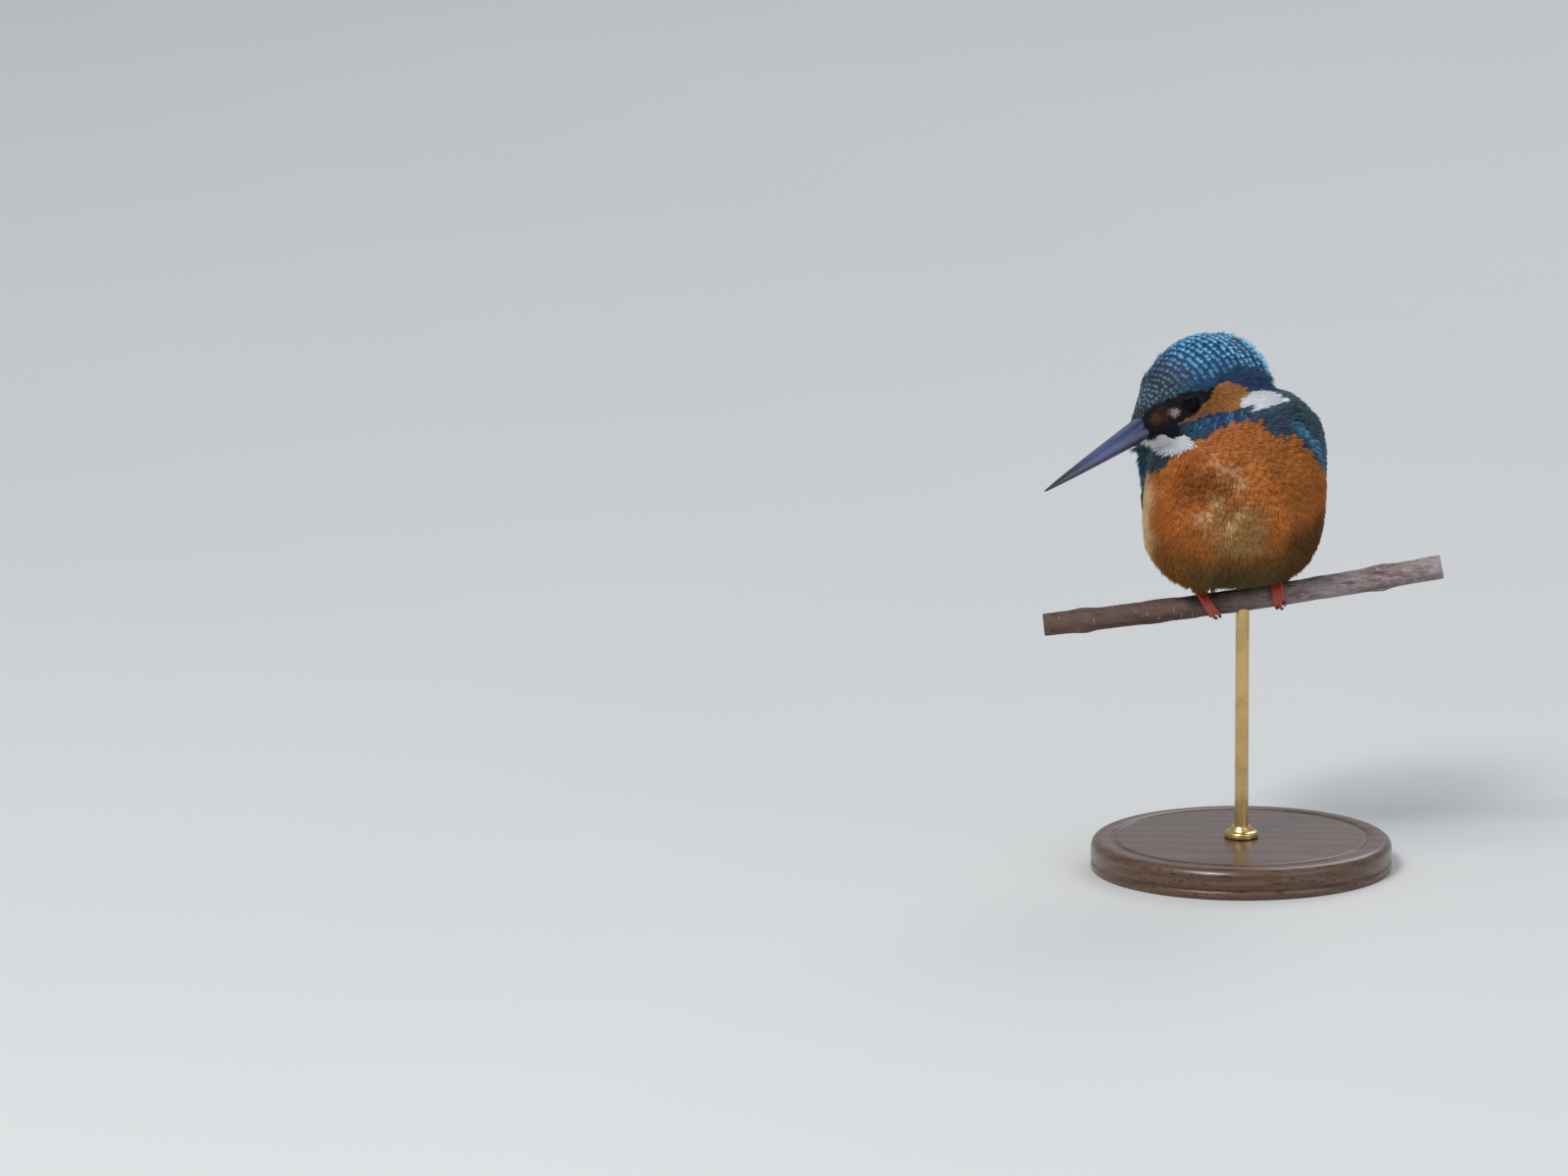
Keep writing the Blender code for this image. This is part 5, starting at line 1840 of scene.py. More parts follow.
class Wing:
    """The long feathers and the covert rows of one folded wing."""

    dark: Colour = (0.030, 0.026, 0.024)
    blue_green: Colour = (0.016, 0.115, 0.17)
    blue: Colour = (0.014, 0.085, 0.16)
    # share, width across, count, and the feathers' length, width and tip height
    covert_rows: tuple = (
        (0.330, 0.95, 12, 11.0, 4.4, 1.35),
        (0.265, 0.95, 13, 8.0, 3.8, 1.50),
        (0.215, 0.95, 14, 6.2, 3.4, 1.65),
        (0.175, 0.95, 15, 5.0, 3.0, 1.75),
        (0.140, 0.94, 14, 4.4, 2.7, 1.80),
        (0.108, 0.93, 13, 4.0, 2.5, 1.80),
        (0.078, 0.92, 12, 3.7, 2.4, 1.75),
        (0.050, 0.90, 10, 3.5, 2.3, 1.70),
        (0.022, 0.88, 8, 3.4, 2.2, 1.60),
        (-0.005, 0.85, 6, 3.2, 2.1, 1.50),
    )

    def quills(self, piece: QuillPiece) -> None:
        """Primaries, secondaries and tertials, the lowest layer first."""
        for i in range(7):
            first, last = (0.40, 0.97 - 0.03 * i), (1.0 - 0.026 * i, 0.85 - 0.10 * i)
            lifts = (0.15, 0.25 + 0.07 * i)
            piece.quills.append(WING.quill(first, last, lifts, 2.2, 0.36, (self.dark, self.blue)))
        for i in range(9):
            first, last = (0.34, 0.93 - 0.08 * i), (0.84 - 0.020 * i, 0.90 - 0.095 * i)
            lifts = (0.45, 0.62 + 0.05 * i)
            piece.quills.append(WING.quill(first, last, lifts, 2.7, 0.40, (self.blue, self.blue_green)))
        for i in range(4):
            first, last = (0.30, 0.36 - 0.09 * i), (0.74 - 0.035 * i, 0.36 - 0.10 * i)
            lifts = (0.7, 1.10 + 0.1 * i)
            piece.quills.append(WING.quill(first, last, lifts, 3.4, 0.46, (self.blue, self.blue_green)))

    def coverts(self, sign: int) -> list[tuple[Array, float, float, float]]:
        """Rows of coverts: roots on the wing with their length, width and tip height."""
        rows = []
        for number, (share, width, count, *sizes) in enumerate(self.covert_rows):
            odd = number % 2
            across = np.linspace(1 - width, width, count) + 0.5 / count * odd * (1 - 2 * odd)
            places = WING.point(np.full(count, share), across, np.zeros(count))
            if sign < 0:
                places = TRUNK.world(TRUNK.local(places) * MIRROR)
            rows.append((places, *sizes))
        return rows


@dataclass(frozen=True)
class Tail:
    """The short tail: twelve feathers in a shallow roof, over and under which the tail coverts lie."""

    root: Colour = (0.0, 9.5, -33.0)  # in the trunk's frame
    pitch: float = math.radians(-30)
    length: float = 35.0
    half_widths: tuple[float, float] = (5.5, 8.2)
    arch: float = 1.6
    rounding: float = 3.0
    feathers: int = 12
    dark: Colour = (0.016, 0.05, 0.13)
    blue: Colour = (0.020, 0.10, 0.25)

    def axes(self) -> tuple[Array, Array, Array, Array]:
        """The tail's root and its directions back, up and left."""
        lean = POSE.lean()
        back = lean @ np.array((0, math.cos(self.pitch), math.sin(self.pitch)))
        up = lean @ np.array((0, -math.sin(self.pitch), math.cos(self.pitch)))
        return TRUNK.world(np.array(self.root)), back, up, lean @ np.array((1.0, 0, 0))

    def point(self, across: Array, t: Array, lift: Array) -> Array:
        """A place on the roof of the tail: across from -1 to 1, t from root to tip."""
        root, back, up, left = self.axes()
        narrow, wide = self.half_widths
        side = across * (narrow + (wide - narrow) * t)
        height = self.arch * (1 - across**2) + lift
        length = (self.length - self.rounding * across**2) * t
        return root + back * length[..., None] + up * height[..., None] + left * side[..., None]

    def quills(self, piece: QuillPiece) -> None:
        """The tail feathers, the middle pair on top."""
        t = np.linspace(0, 1, piece.stations)
        _, _, up, left = self.axes()
        half = self.feathers // 2
        for sign in SIDES.values():
            for i in range(half):
                across = sign * (0.10 + 0.80 * i / (half - 1))
                reach = t * (1 - 0.012 * (i == half - 1))
                path = self.point(np.full_like(t, across), reach, np.full_like(t, 0.35 - 0.13 * i))
                outs = unit(np.tile(up, (len(t), 1)) + left * 0.22 * across)
                piece.quills.append(Quill(path, outs, 1.9, 0.5 - 0.08 * sign, self.dark, self.blue, 0.12))


TAIL = Tail()


# ---------------------------------------------------------------- bill, eyes and claws


@dataclass(frozen=True)
class HornFinish(Finish):
    """Glossy dark horn that carries its own painted colour and fine long streaks."""

    roughness: float = 0.3
    streak: float = 1400.0

    def inputs(self, sheet: Sheet) -> dict[str, object]:
        """Streaks along the bill."""
        grain = sheet.noise(sheet.stretched(sheet.place(), (0.08, 1.0, 1.0), (0.2, 0.35, -2.46)), self.streak, 5.0)
        return {
            "Base Color": sheet.vector("SCALE", sheet.layer("tint"), sheet.line(grain, 0.7, 0.65)),
            "Roughness": sheet.line(grain, 0.25, self.roughness - 0.12),
            "Normal": sheet.bump(0.15, 0.00005, grain),
            "Coat Weight": 0.25,
            "Coat Roughness": 0.2,
        }


@dataclass(frozen=True)
class Bill:
    """The dagger bill: two blades that close along one line, in the head's frame."""

    root: float = 11.0
    tip: float = 55.5
    line: float = -1.5
    droop: float = 0.011
    half_width: float = 4.1
    upper: float = 4.1
    lower: float = 3.7
    half_gap: float = 0.06

    def half(self, name: str, height: float, direction: int) -> Piece:
        """One half of the bill, with its ridge, its groove and, above, its nostrils."""
        rows = []
        angles = np.linspace(0, math.pi, 33)
        sides = (angles, math.pi - angles)
        for t in 1 - (1 - np.linspace(0, 1, 90)) ** 1.15:
            along = self.root + (self.tip - self.root) * t
            taper = (1 - t) ** 0.80 * 0.965 + 0.035
            line = self.line - self.droop * (along - self.root) + direction * self.half_gap
            across = self.half_width * taper * np.cos(angles)
            out = height * taper * np.abs(np.sin(angles)) ** 1.25
            if direction > 0:
                slit = sum(bell(along, 16.3, 1.5) * bell(side, 0.62, 0.13) for side in sides)
                groove = 0.10 * rise(np.array(along), 36, 17) * sum(bell(side, 0.75, 0.2) for side in sides)
                across = across * (1 - 0.16 * slit - groove * 0.4)
                out = out * (1 - 0.10 * slit - groove * 0.5)
            across = across * (1 + 0.05 * bell(np.minimum(*sides), 0, 0.16))
            rows.append(HEAD.world(np.stack((np.full(33, along), across, line + direction * out), axis=1)))
        made = lofted(name, np.array(rows))
        x, y, z = HEAD.local(coordinates(made.data)).T
        seam = rise(np.abs(z - self.line + self.droop * (x - self.root)), 0.5, 0.1)
        horn = layered(
            mix((0.022, 0.029, 0.082), (0.042, 0.064, 0.172), rise(x, 19, 31)),
            # Painted highlight: a paler violet-grey line along the upper half's ridge
            ((0.065, 0.080, 0.16), rise(np.abs(y), 1.4, 0.2) * rise(x, 50, 30) * (direction > 0)),
            ((0.022, 0.024, 0.038), rise(x, 34, 50)),
            ((0.012, 0.011, 0.014), seam * 0.7),
            ((0.030, 0.026, 0.032), rise(x, 30, 15) * 0.7 * (direction < 0)),
        )
        paint(made.data, "tint", horn)
        return made

    def build(self) -> list[Piece]:
        """Both halves."""
        finish = HornFinish("bill_horn_gloss").material()
        made = []
        for name, height, direction in (("bill_upper", self.upper, 1), ("bill_lower", self.lower, -1)):
            piece = self.half(name + "_horn", height, direction)
            piece.data.materials.append(finish)
            made.append(settle(piece, "bill_horn", name))
        return made


@dataclass(frozen=True)
class EyeFinish(Finish):
    """A wet dark-brown eye with a black pupil."""

    name: str = "wet_eye"

    def inputs(self, sheet: Sheet) -> dict[str, object]:
        """Pupil, iris and rim, by how far each place lies off the gaze."""
        off = sheet.value("off_axis")
        fibre = sheet.noise(sheet.place(), 2200.0, 3.0)
        iris = sheet.vector("SCALE", (0.003, 0.0016, 0.0013), sheet.line(fibre, 1.2, 0.4))
        colour = sheet.blend(sheet.step(off, 0.50, 0.54), (0.002, 0.002, 0.002, 1), iris)
        return {
            "Base Color": sheet.blend(sheet.step(off, 0.82, 0.9), colour, (0.004, 0.003, 0.003, 1)),
            "Roughness": 0.06,
            "Specular IOR Level": 0.08,
        }


class Eyeballs:
    """Both eyeballs."""

    def build(self) -> list[Piece]:
        """A smooth ball on each side, with how far each point lies off the gaze."""
        finish = EyeFinish().material()
        made = []
        for side, sign in SIDES.items():
            piece = ball(f"eyeball_{side}", EYE.centre(sign), EYE.radius, 72)
            piece.data.shade_smooth()
            facing = unit(coordinates(piece.data) - EYE.centre(sign)) @ EYE.gaze(sign)
            store(piece.data, "off_axis", "FLOAT", np.degrees(np.arccos(np.clip(facing, -1, 1))) / 70)
            piece.data.materials.append(finish)
            made.append(settle(piece, "eye", f"eye_{side}"))
        return made


class Claws:
    """The eight hooked claws."""

    steps = 16
    segments = 14

    def build(self) -> list[Piece]:
        """One smooth hook at the end of each toe."""
        finish = HornFinish("claw_horn_gloss", roughness=0.35, streak=3000.0).material()
        shares = np.linspace(0, 1, self.steps)
        radii = [0.44 * (1 - t) ** 0.7 + 0.06 for t in shares]
        along = np.concatenate((np.repeat(shares, self.segments), (0, 1)))
        horn = mix((0.10, 0.045, 0.035), (0.022, 0.018, 0.018), rise(along, 0, 0.35))
        made = []
        for side, sign in SIDES.items():
            for name, offset, end in FOOT.toes:
                way = -1 if end < FOOT.start else 1
                x = FOOT.toe(sign, offset, end)[-1][0]
                path = []
                for t in shares:
                    degrees = end + way * (FOOT.claw_start + FOOT.claw_sweep * t)
                    path.append(FOOT.grip(x, degrees, FOOT.radius * (1 - t) + 0.12 * t))
                piece = swept(f"claw_{side}_{name}_horn", np.array(path), radii, self.segments)
                paint(piece.data, "tint", horn)
                piece.data.materials.append(finish)
                made.append(settle(piece, "claw_horn", f"claw_{side}_{name}"))
        return made


# ---------------------------------------------------------------- perch and stand


@dataclass(frozen=True)
class BarkFinish(Finish):
    """Thin greyish-brown bark with pale lenticels and fine cracks, and rings on its cut ends."""

    name: str = "twig_bark"

    def inputs(self, sheet: Sheet) -> dict[str, object]:
        """Blotches, cracks and lenticels, browner towards the lower end."""
        place = sheet.place()
        along = sheet.stretched(place, (0.35, 1.0, 1.0))
        blotch = sheet.noise(along, 150.0, 5.0, Roughness=0.65)
        fine = sheet.noise(along, 900.0, 6.0, Roughness=0.7)
        across = sheet.stretched(place, (1.0, 0.45, 0.45))
        cells = sheet.add("ShaderNodeTexVoronoi", {"Vector": across, "Scale": 900.0, "Randomness": 1.0}).outputs
        picked = sheet.step(sheet.add("ShaderNodeSeparateColor", {0: cells["Color"]}).outputs[0], 0.80, 0.86)
        dot = sheet.times(sheet.less(1.0, sheet.step(cells["Distance"], 0.16, 0.34)), picked)
        crack = sheet.step(sheet.noise(sheet.stretched(place, (0.12, 1.0, 1.0)), 700.0, 3.0), 0.40, 0.30)
        colour = sheet.blend(sheet.step(blotch, 0.36, 0.64), (0.105, 0.066, 0.060, 1), (0.26, 0.205, 0.205, 1))
        colour = sheet.blend(sheet.step(fine, 0.45, 0.7), colour, (0.36, 0.30, 0.31, 1))
        x = sheet.split(place)[0]
        bright = sheet.vector("SCALE", colour, 1.15)
        colour = sheet.blend(sheet.step(x, 0.016, 0.0), bright, sheet.vector("MULTIPLY", colour, (0.59, 0.53, 0.46)))
        brown = sheet.vector("MULTIPLY", colour, (0.66, 0.52, 0.42))
        colour = sheet.blend(sheet.step(x, -0.004, -0.026), colour, brown)
        colour = sheet.blend(sheet.times(crack, 0.7), colour, (0.030, 0.020, 0.018, 1))
        colour = sheet.blend(sheet.times(dot, 0.45), colour, (0.42, 0.34, 0.31, 1))
        grown = sheet.maths("ADD", sheet.value("ring"), sheet.times(fine, 0.10))
        rings = sheet.maths("SINE", sheet.times(grown, 38.0))
        heart = sheet.blend(sheet.line(rings, 0.4, 0.5), (0.36, 0.23, 0.12, 1), (0.58, 0.44, 0.28, 1))
        height = sheet.maths("ADD", sheet.times(fine, 0.7), sheet.line(dot, 0.8, sheet.times(crack, -0.8)))
        return {
            "Base Color": sheet.blend(sheet.value("cut"), colour, heart),
            "Normal": sheet.bump(0.7, 0.00025, height),
            "Roughness": sheet.line(fine, 0.3, 0.55),
        }


@dataclass(frozen=True)
class Perch:
    """A cut length of twig that the bird grips."""

    half_length: float = 58.0
    girth: float = 3.45
    slope: float = 0.150
    bend: float = 0.00036
    taper: float = 0.0022
    buds: tuple = ((-46, 0.55, 3.0), (-25, 0.25, 3.5), (40, 0.5, 3.2))
    bore: float = 2.12
    end_shares: tuple = (0.3, 0.65, 0.93, 1.0)  # the rings' radii on a cut end, from its heart

    def centre(self, x: float) -> Array:
        """A point of the middle line, in model millimetres."""
        return POSE.over_perch((x, 0, self.slope * x + self.bend * x * x))

    def up(self, x: float) -> Array:
        """The direction square to the perch, towards its top."""
        slope = math.atan(self.slope + 2 * self.bend * x)
        return np.array((-math.sin(slope), 0, math.cos(slope)))

    def radius(self, x: float) -> float:
        """The perch's radius, with its old buds."""
        swell = sum(height * math.exp(-(((x - at) / width) ** 2)) for at, height, width in self.buds)
        return self.girth + swell + self.taper * x

    def build(self) -> Piece:
        """The twig, with bark, three old buds, chamfered cut ends and the rod's bore."""
        angles = np.linspace(0, math.tau, 84, endpoint=False)
        edge = self.half_length
        inner = np.linspace(-edge + 0.5, edge - 0.5, 330)
        places = np.concatenate(([-edge] * 3, [-edge + 0.25], inner, [edge - 0.25], [edge] * 3))
        shrink = np.ones(len(places))
        shrink[:4] = self.end_shares
        shrink[-4:] = self.end_shares[::-1]
        rows, cut, ring = [], [], []
        for x, share in zip(places, shrink):
            middle, up = self.centre(x), self.up(x)
            ahead = np.array((up[2], 0, -up[0]))
            round_it = np.outer(np.sin(angles), up) + np.outer(np.cos(angles), np.cross(up, ahead))
            surface = middle + round_it * self.radius(x)
            bumps = 0.16 * noise(surface * (0.3, 1, 1), 1.6, 51) + 0.07 * noise(surface * (0.5, 1, 1), 0.6, 52)
            for at, height, width in self.buds:
                facing = np.exp(-(((angles - (0.9 + at * 0.07)) % math.tau - 1.0) ** 2) / 0.16)
                bumps = bumps + 0.5 * height * math.exp(-(((x - at) / width * 1.6) ** 2)) * (facing - 0.35)
            rows.append(middle + round_it * ((self.radius(x) + bumps - 0.12) * share)[:, None])
            cut += [float(share < 0.9)] * len(angles)
            ring += [share] * len(angles)
        made = lofted("perch_twig", np.array(rows))
        store(made.data, "cut", "FLOAT", np.array(cut + [1, 1]))
        store(made.data, "ring", "FLOAT", np.array(ring + [0, 0]))
        bore = swept("bore", np.array([POSE.over_perch((0, 0, z)) for z in (-8.0, -4.0, 0.0)]), [self.bore] * 3, 48)
        combined(made, bore, "DIFFERENCE")
        made.data.materials.clear()
        made.data.materials.append(BarkFinish().material())
        made.data.shade_smooth()
        made.data.set_sharp_from_angle(angle=math.radians(50))
        return settle(made, "bark", "perch")


PERCH = Perch()
FOOT = Foot()


@dataclass(frozen=True)
class WoodFinish(Finish):
    """Dark satin hardwood with long grain and pores."""

    name: str = "turned_hardwood"

    def inputs(self, sheet: Sheet) -> dict[str, object]:
        """The rings of a sawn board, with pores along it."""
        place, turn = sheet.place(), (0, 0, 0.5)
        board = sheet.stretched(place, (0.16, 1.0, 1.0), turn, (0.01, 0.05, 0.09))
        swirl = sheet.noise(board, 28.0, 3.0, Distortion=0.6)
        _, y, z = sheet.split(board)
        radius = sheet.maths("POWER", sheet.maths("ADD", sheet.times(y, y), sheet.times(z, z)), 0.5)
        rings = sheet.maths("SINE", sheet.line(radius, 1900.0, sheet.times(swirl, 16.0)))
        fibre = sheet.noise(sheet.stretched(place, (0.05, 1.0, 1.0), turn), 1500.0, 4.0)
        colour = sheet.blend(sheet.line(rings, 0.28, 0.5), (0.060, 0.026, 0.013, 1), (0.150, 0.070, 0.034, 1))
        return {
            "Base Color": sheet.blend(sheet.step(fibre, 0.50, 0.32), colour, (0.030, 0.013, 0.008, 1)),
            "Normal": sheet.bump(0.18, 0.0001, fibre),
            "Roughness": sheet.line(fibre, 0.2, 0.24),
            "Coat Weight": 0.35,
            "Coat Roughness": 0.18,
        }


@dataclass(frozen=True)
class BrassFinish(Finish):
    """Satin brass with turned marks and a slight tarnish."""

    name: str = "satin_brass"

    def inputs(self, sheet: Sheet) -> dict[str, object]:
        """Fine lines round the work, under a cloud of tarnish."""
        place = sheet.place()
        lines = sheet.noise(sheet.stretched(place, (0.06, 0.06, 1.0)), 3500.0, 3.0)
        cloud = sheet.step(sheet.noise(place, 120.0, 4.0), 0.4, 0.75)
        return {
            "Base Color": sheet.blend(cloud, (0.70, 0.49, 0.22, 1), (0.48, 0.32, 0.14, 1)),
            "Normal": sheet.bump(0.1, 0.00003, lines),
            "Roughness": sheet.line(lines, 0.2, 0.2),
            "Metallic": 1.0,
        }


@dataclass(frozen=True)
class Stand:
    """The plain display stand: a turned base, a brass rod and its collar."""

    base_radius: float = 44.0
    base_height: float = 9.0
    edge: float = 2.5
    rod_radius: float = 2.0
    rod_seat: float = 5.0
    gap: float = 0.3
    # in from the base's edge, and down from its top or up from its foot
    groove: tuple = ((7.4, 0), (7.2, 0.12), (6.9, 0.5), (6.5, 0.6), (6.1, 0.5), (5.8, 0.12), (5.6, 0))
    side_bead: tuple = ((0, 3.2), (0.1, 3.05), (0.35, 2.8), (0.35, 2.5), (0.1, 2.25), (0, 2.1), (0, 0.8))

    def turned(self, name: str, profile: Profile, steps: int) -> Piece:
        """A closed turned solid from a profile of (radius, height), the axis left open between its ends."""
        angles = np.linspace(0, math.tau, steps, endpoint=False)
        rows = np.array([[(r * math.cos(a), r * math.sin(a), z) for a in angles] for r, z in profile])
        return lofted(name, rows)

    def arc(self, centre: tuple[float, float], radius: float, first: float, last: float, steps: int) -> Profile:
        """Points of a round corner in a profile."""
        turns = np.radians(np.linspace(first, last, steps))
        return [(centre[0] + radius * math.cos(a), centre[1] + radius * math.sin(a)) for a in turns]

    def build(self) -> list[Piece]:
        """The three pieces."""
        wood, brass = WoodFinish().material(), BrassFinish().material()
        top, radius, edge, r = self.base_height, self.base_radius, self.edge, self.rod_radius
        seat = r + 0.1
        profile = [(seat, top - self.rod_seat), (seat, top - 0.15), (seat + 0.15, top)]
        profile += [(out, top) for out in np.linspace(8, radius - 8.5, 5)]
        profile += [(radius - inwards, top - depth) for inwards, depth in self.groove]
        profile += self.arc((radius - edge, top - edge), edge, 90, 0, 12)
        profile += [(radius - inwards, height) for inwards, height in self.side_bead]
        profile += self.arc((radius - 0.8, 0.8), 0.8, 0, -90, 5)
        base = self.turned("stand_base_turned", profile + [(20.0, 0.0), (0.6, 0.0)], 192)
        low, high = top - self.rod_seat + self.gap, POSE.perch_height - self.gap
        shaft = [(0.3, low), (r - 0.2, low), (r, low + 0.2), (r, 20), (r, 40), (r, 60)]
        rod = self.turned("stand_rod_turned", shaft + [(r, high - 0.2), (r - 0.2, high), (0.3, high)], 64)
        low = top + self.gap
        hole = r + 0.05
        outline = [(hole, low), (4.9, low), (5.0, low + 0.1), (5.0, low + 0.8)]
        outline += self.arc((4.2, low + 1.0), 0.75, -10, 75, 7)
        outline += [(3.6, low + 1.9), (3.15, low + 2.5), (2.95, low + 3.0), (2.8, low + 3.2), (hole, low + 3.2)]
        collar = self.ring("stand_collar_turned", outline, 96)
        for piece, finish in ((base, wood), (rod, brass), (collar, brass)):
            piece.data.set_sharp_from_angle(angle=math.radians(40))
            piece.data.materials.append(finish)
        return [
            settle(base, "stand_wood", "stand_base"),
            settle(rod, "stand_metal", "stand_rod"),
            settle(collar, "stand_metal", "stand_collar"),
        ]

    def ring(self, name: str, outline: Profile, steps: int) -> Piece:
        """A turned ring from a closed outline."""
        angles = np.linspace(0, math.tau, steps, endpoint=False)
        rows = np.array([[(r * math.cos(a), r * math.sin(a), z) for r, z in outline] for a in angles])
        return looped(name, rows)


# ---------------------------------------------------------------- the bird's coat, laid out


class Plumage:
    """The whole coat: every tract's feathers, laid as separate pieces."""

    def __init__(self, skin: Piece) -> None:
        """Makes the kinds of feather and their finishes."""
        self.coat = Coat(skin)
        self.fine = Tuft("fine_tuft", 3, barbs=5, spread=0.95, barb_width=0.26, ragged=0.16)
        self.scaled = Tuft("scaled_tuft", 7, barbs=9, spread=0.95, barb_width=0.19, ragged=0.05)
        self.loose = Tuft("loose_tuft", 4, barbs=8, spread=1.0, barb_width=0.19, ragged=0.20)
        self.silky = Tuft("silky_tuft", 5, barbs=7, spread=0.8, barb_width=0.15, ragged=0.25)
        self.soft = PlumageFinish(
            "soft_plumage",
            start=0.25,
            full=1.0,
            barbs=40,
            bump=0.0,
            soft=0.85,
            roughness=0.9,
            sheen=0.05,
            specular=0.10,
        ).material()
        self.bars = PlumageFinish(
            "barred_plumage", start=0.63, full=0.73, fade=0.92, end=1.0, spot=0.54, bump=0.0, roughness=0.5, sheen=0.0
        ).material()
        self.dull = PlumageFinish(
            "dull_plumage", barbs=40, bump=0.0, soft=0.7, roughness=0.9, sheen=0.0, specular=0.08
        ).material()
        self.glossy = PlumageFinish(
            "close_plumage", start=0.35, full=0.85, soft=0.7, roughness=0.5, sheen=0.1
        ).material()
        self.spotted = PlumageFinish(
            "spotted_plumage", start=0.78, full=0.88, spot=0.20, soft=0.5, bump=0.0, roughness=0.5, sheen=0.0
        ).material()
        self.pieces: list[Piece] = []

    def keep(self, name: str, growth: Growth, places: Array, kind: Tuft, finish: Material, slot: str) -> None:
        """Grows and lays one piece and keeps it.

        Args:
            name: the piece's name.
            growth: how its feathers grow.
            places: their roots.
            kind: their unit meshes.
            finish: their material.
            slot: the piece's slot; not used.
        """
        plumes = self.coat.grow(growth, places, seed=len(self.pieces) + 17)
        self.pieces.append(settle(self.coat.lay(name, plumes, kind, finish), slot))

    def crown_rows(self) -> Array:
        """The crown's roots in even rows across the head, every other row set half a step over.

        Each row lies as far from the bill all along, so that the feathers point square to it.
        """
        beak = np.array((24.0, 0, 0.5))
        stations = np.arange(17.0, -25.0, -0.5)
        profiles = []
        for turn in np.radians(np.linspace(-116, 116, 117)):
            way = Vector(HEAD.turned(np.array((0, math.sin(turn), math.cos(turn)))))
            starts = HEAD.world(np.stack((stations, 0 * stations, 0 * stations + 0.5), axis=1))
            hits = [self.coat.ground.tree.ray_cast(Vector(start), way)[0] for start in starts]
            profile = HEAD.local(np.array([hit for hit in hits if hit], float))
            profiles.append((np.linalg.norm(profile - beak, axis=1), profile))
        places = []
        reach, row = 8.0, 0
        while reach < 47:
            grown = float(rise(np.array(reach), 9, 25))
            met = [(far, way) for far, way in profiles if far[0] < reach < far[-1]]
            reach += 1.35 + 0.70 * grown
            row += 1
            if len(met) < 5:
                continue
            line = np.array([[np.interp(reach, far, way[:, i]) for i in range(3)] for far, way in met])
            length = np.concatenate(([0], np.cumsum(np.linalg.norm(np.diff(line, axis=0), axis=1))))
            step = 1.25 + 0.45 * grown
            first = (length[-1] / 2) % step + step / 2 * (row % 2)
            at = np.arange(first, length[-1], step)
            places.append(np.stack([np.interp(at, length, line[:, i]) for i in range(3)], axis=1))
        places = HEAD.world(np.concatenate(places))
        rows = self.thinned(places[Markings(places).tract == Tract.CROWN.value], 0.95)
        fill = self.coat.roots(Tract.CROWN, 1.3)
        fill = fill[HEAD.local(fill)[:, 0] < 0]
        gaps = np.linalg.norm(fill[:, None] - rows[None], axis=2).min(axis=1)
        return np.concatenate((rows, fill[gaps > 1.5]))

    def thinned(self, places: Array, gap: float) -> Array:
        """Drops places that crowd an earlier one."""
        kept: list[Array] = []
        cells: dict[tuple[int, int, int], list[Array]] = {}
        for place in places:
            key = tuple(np.floor(place / gap).astype(int))
            close = False
            for shift in np.ndindex(3, 3, 3):
                near = cells.get((key[0] + shift[0] - 1, key[1] + shift[1] - 1, key[2] + shift[2] - 1), ())
                if any(np.linalg.norm(place - other) < gap for other in near):
                    close = True
                    break
            if not close:
                kept.append(place)
                cells.setdefault(key, []).append(place)
        return np.array(kept)

    def build(self) -> list[Piece]:
        """Lays every tract."""
        coat = self.coat
        rows = self.crown_rows()
        crown = Growth(
            Tract.CROWN, 0.9, 4.7, 2.7, 12, swing=4, shade=0.12, stray=0.05, taper=0.28, crest=2.6, brow=0.9
        )
        self.keep("coat_crown", crown, rows, self.scaled, self.bars, "plumage_blue")
        fringe = self.coat.roots(Tract.CROWN, 0.55)
        marks = Markings(fringe)
        fringe = fringe[(marks.x > 12) | (marks.over_edge < 2.6)]
        growth = Growth(Tract.CROWN, 0.55, 1.9, 0.9, 12)
        self.keep("coat_forehead", growth, fringe, self.fine, self.bars, "plumage_blue")
        lores = Growth(Tract.LORE, 0.33, 1.7, 1.0, 10, taper=0.25)
        ears = Growth(Tract.EAR, 0.54, 2.6, 1.1, 11, taper=0.45)
        malars = Growth(Tract.MALAR, 0.56, 2.6, 1.2, 12, swing=5, shade=0.2)
        throat = Growth(Tract.THROAT, 0.40, 2.2, 0.9, 14, stand=2.4, swing=5, shade=0.03, stray=0.03)
        necks = Growth(Tract.NECK_PATCH, 0.58, 3.4, 1.3, 10, swing=3, shade=0.05)
        stripe = Growth(Tract.RUMP, 1.0, 5.5, 2.3, 14, swing=5)
        for label, growth, kind, finish, slot in (
            ("lores", lores, self.fine, self.dull, "plumage_blue"),
            ("ear_patches", ears, self.loose, self.soft, "plumage_orange"),
            ("malar_stripes", malars, self.loose, self.glossy, "plumage_blue"),
            ("throat", throat, self.silky, self.soft, "plumage_orange"),
            ("neck_patches", necks, self.silky, self.soft, "plumage_orange"),
            ("back_stripe", stripe, self.loose, self.glossy, "plumage_blue"),
        ):
            places = coat.roots(growth.tract, growth.spacing)
            self.keep(f"coat_{label}", growth, places, kind, finish, slot)
        growth = Growth(Tract.MANTLE, 1.05, 5.0, 2.3, 15, swing=6)
        mantle = coat.roots(Tract.MANTLE, growth.spacing)
        mantle = mantle[~WING.covers(mantle, 3.0)]
        self.keep("coat_mantle", growth, mantle, self.loose, self.glossy, "plumage_blue")
        under = coat.roots(Tract.BREAST, 0.84)
        under = under[~WING.covers(under, 5.0)]
        left, _, up = TRUNK.local(under).T
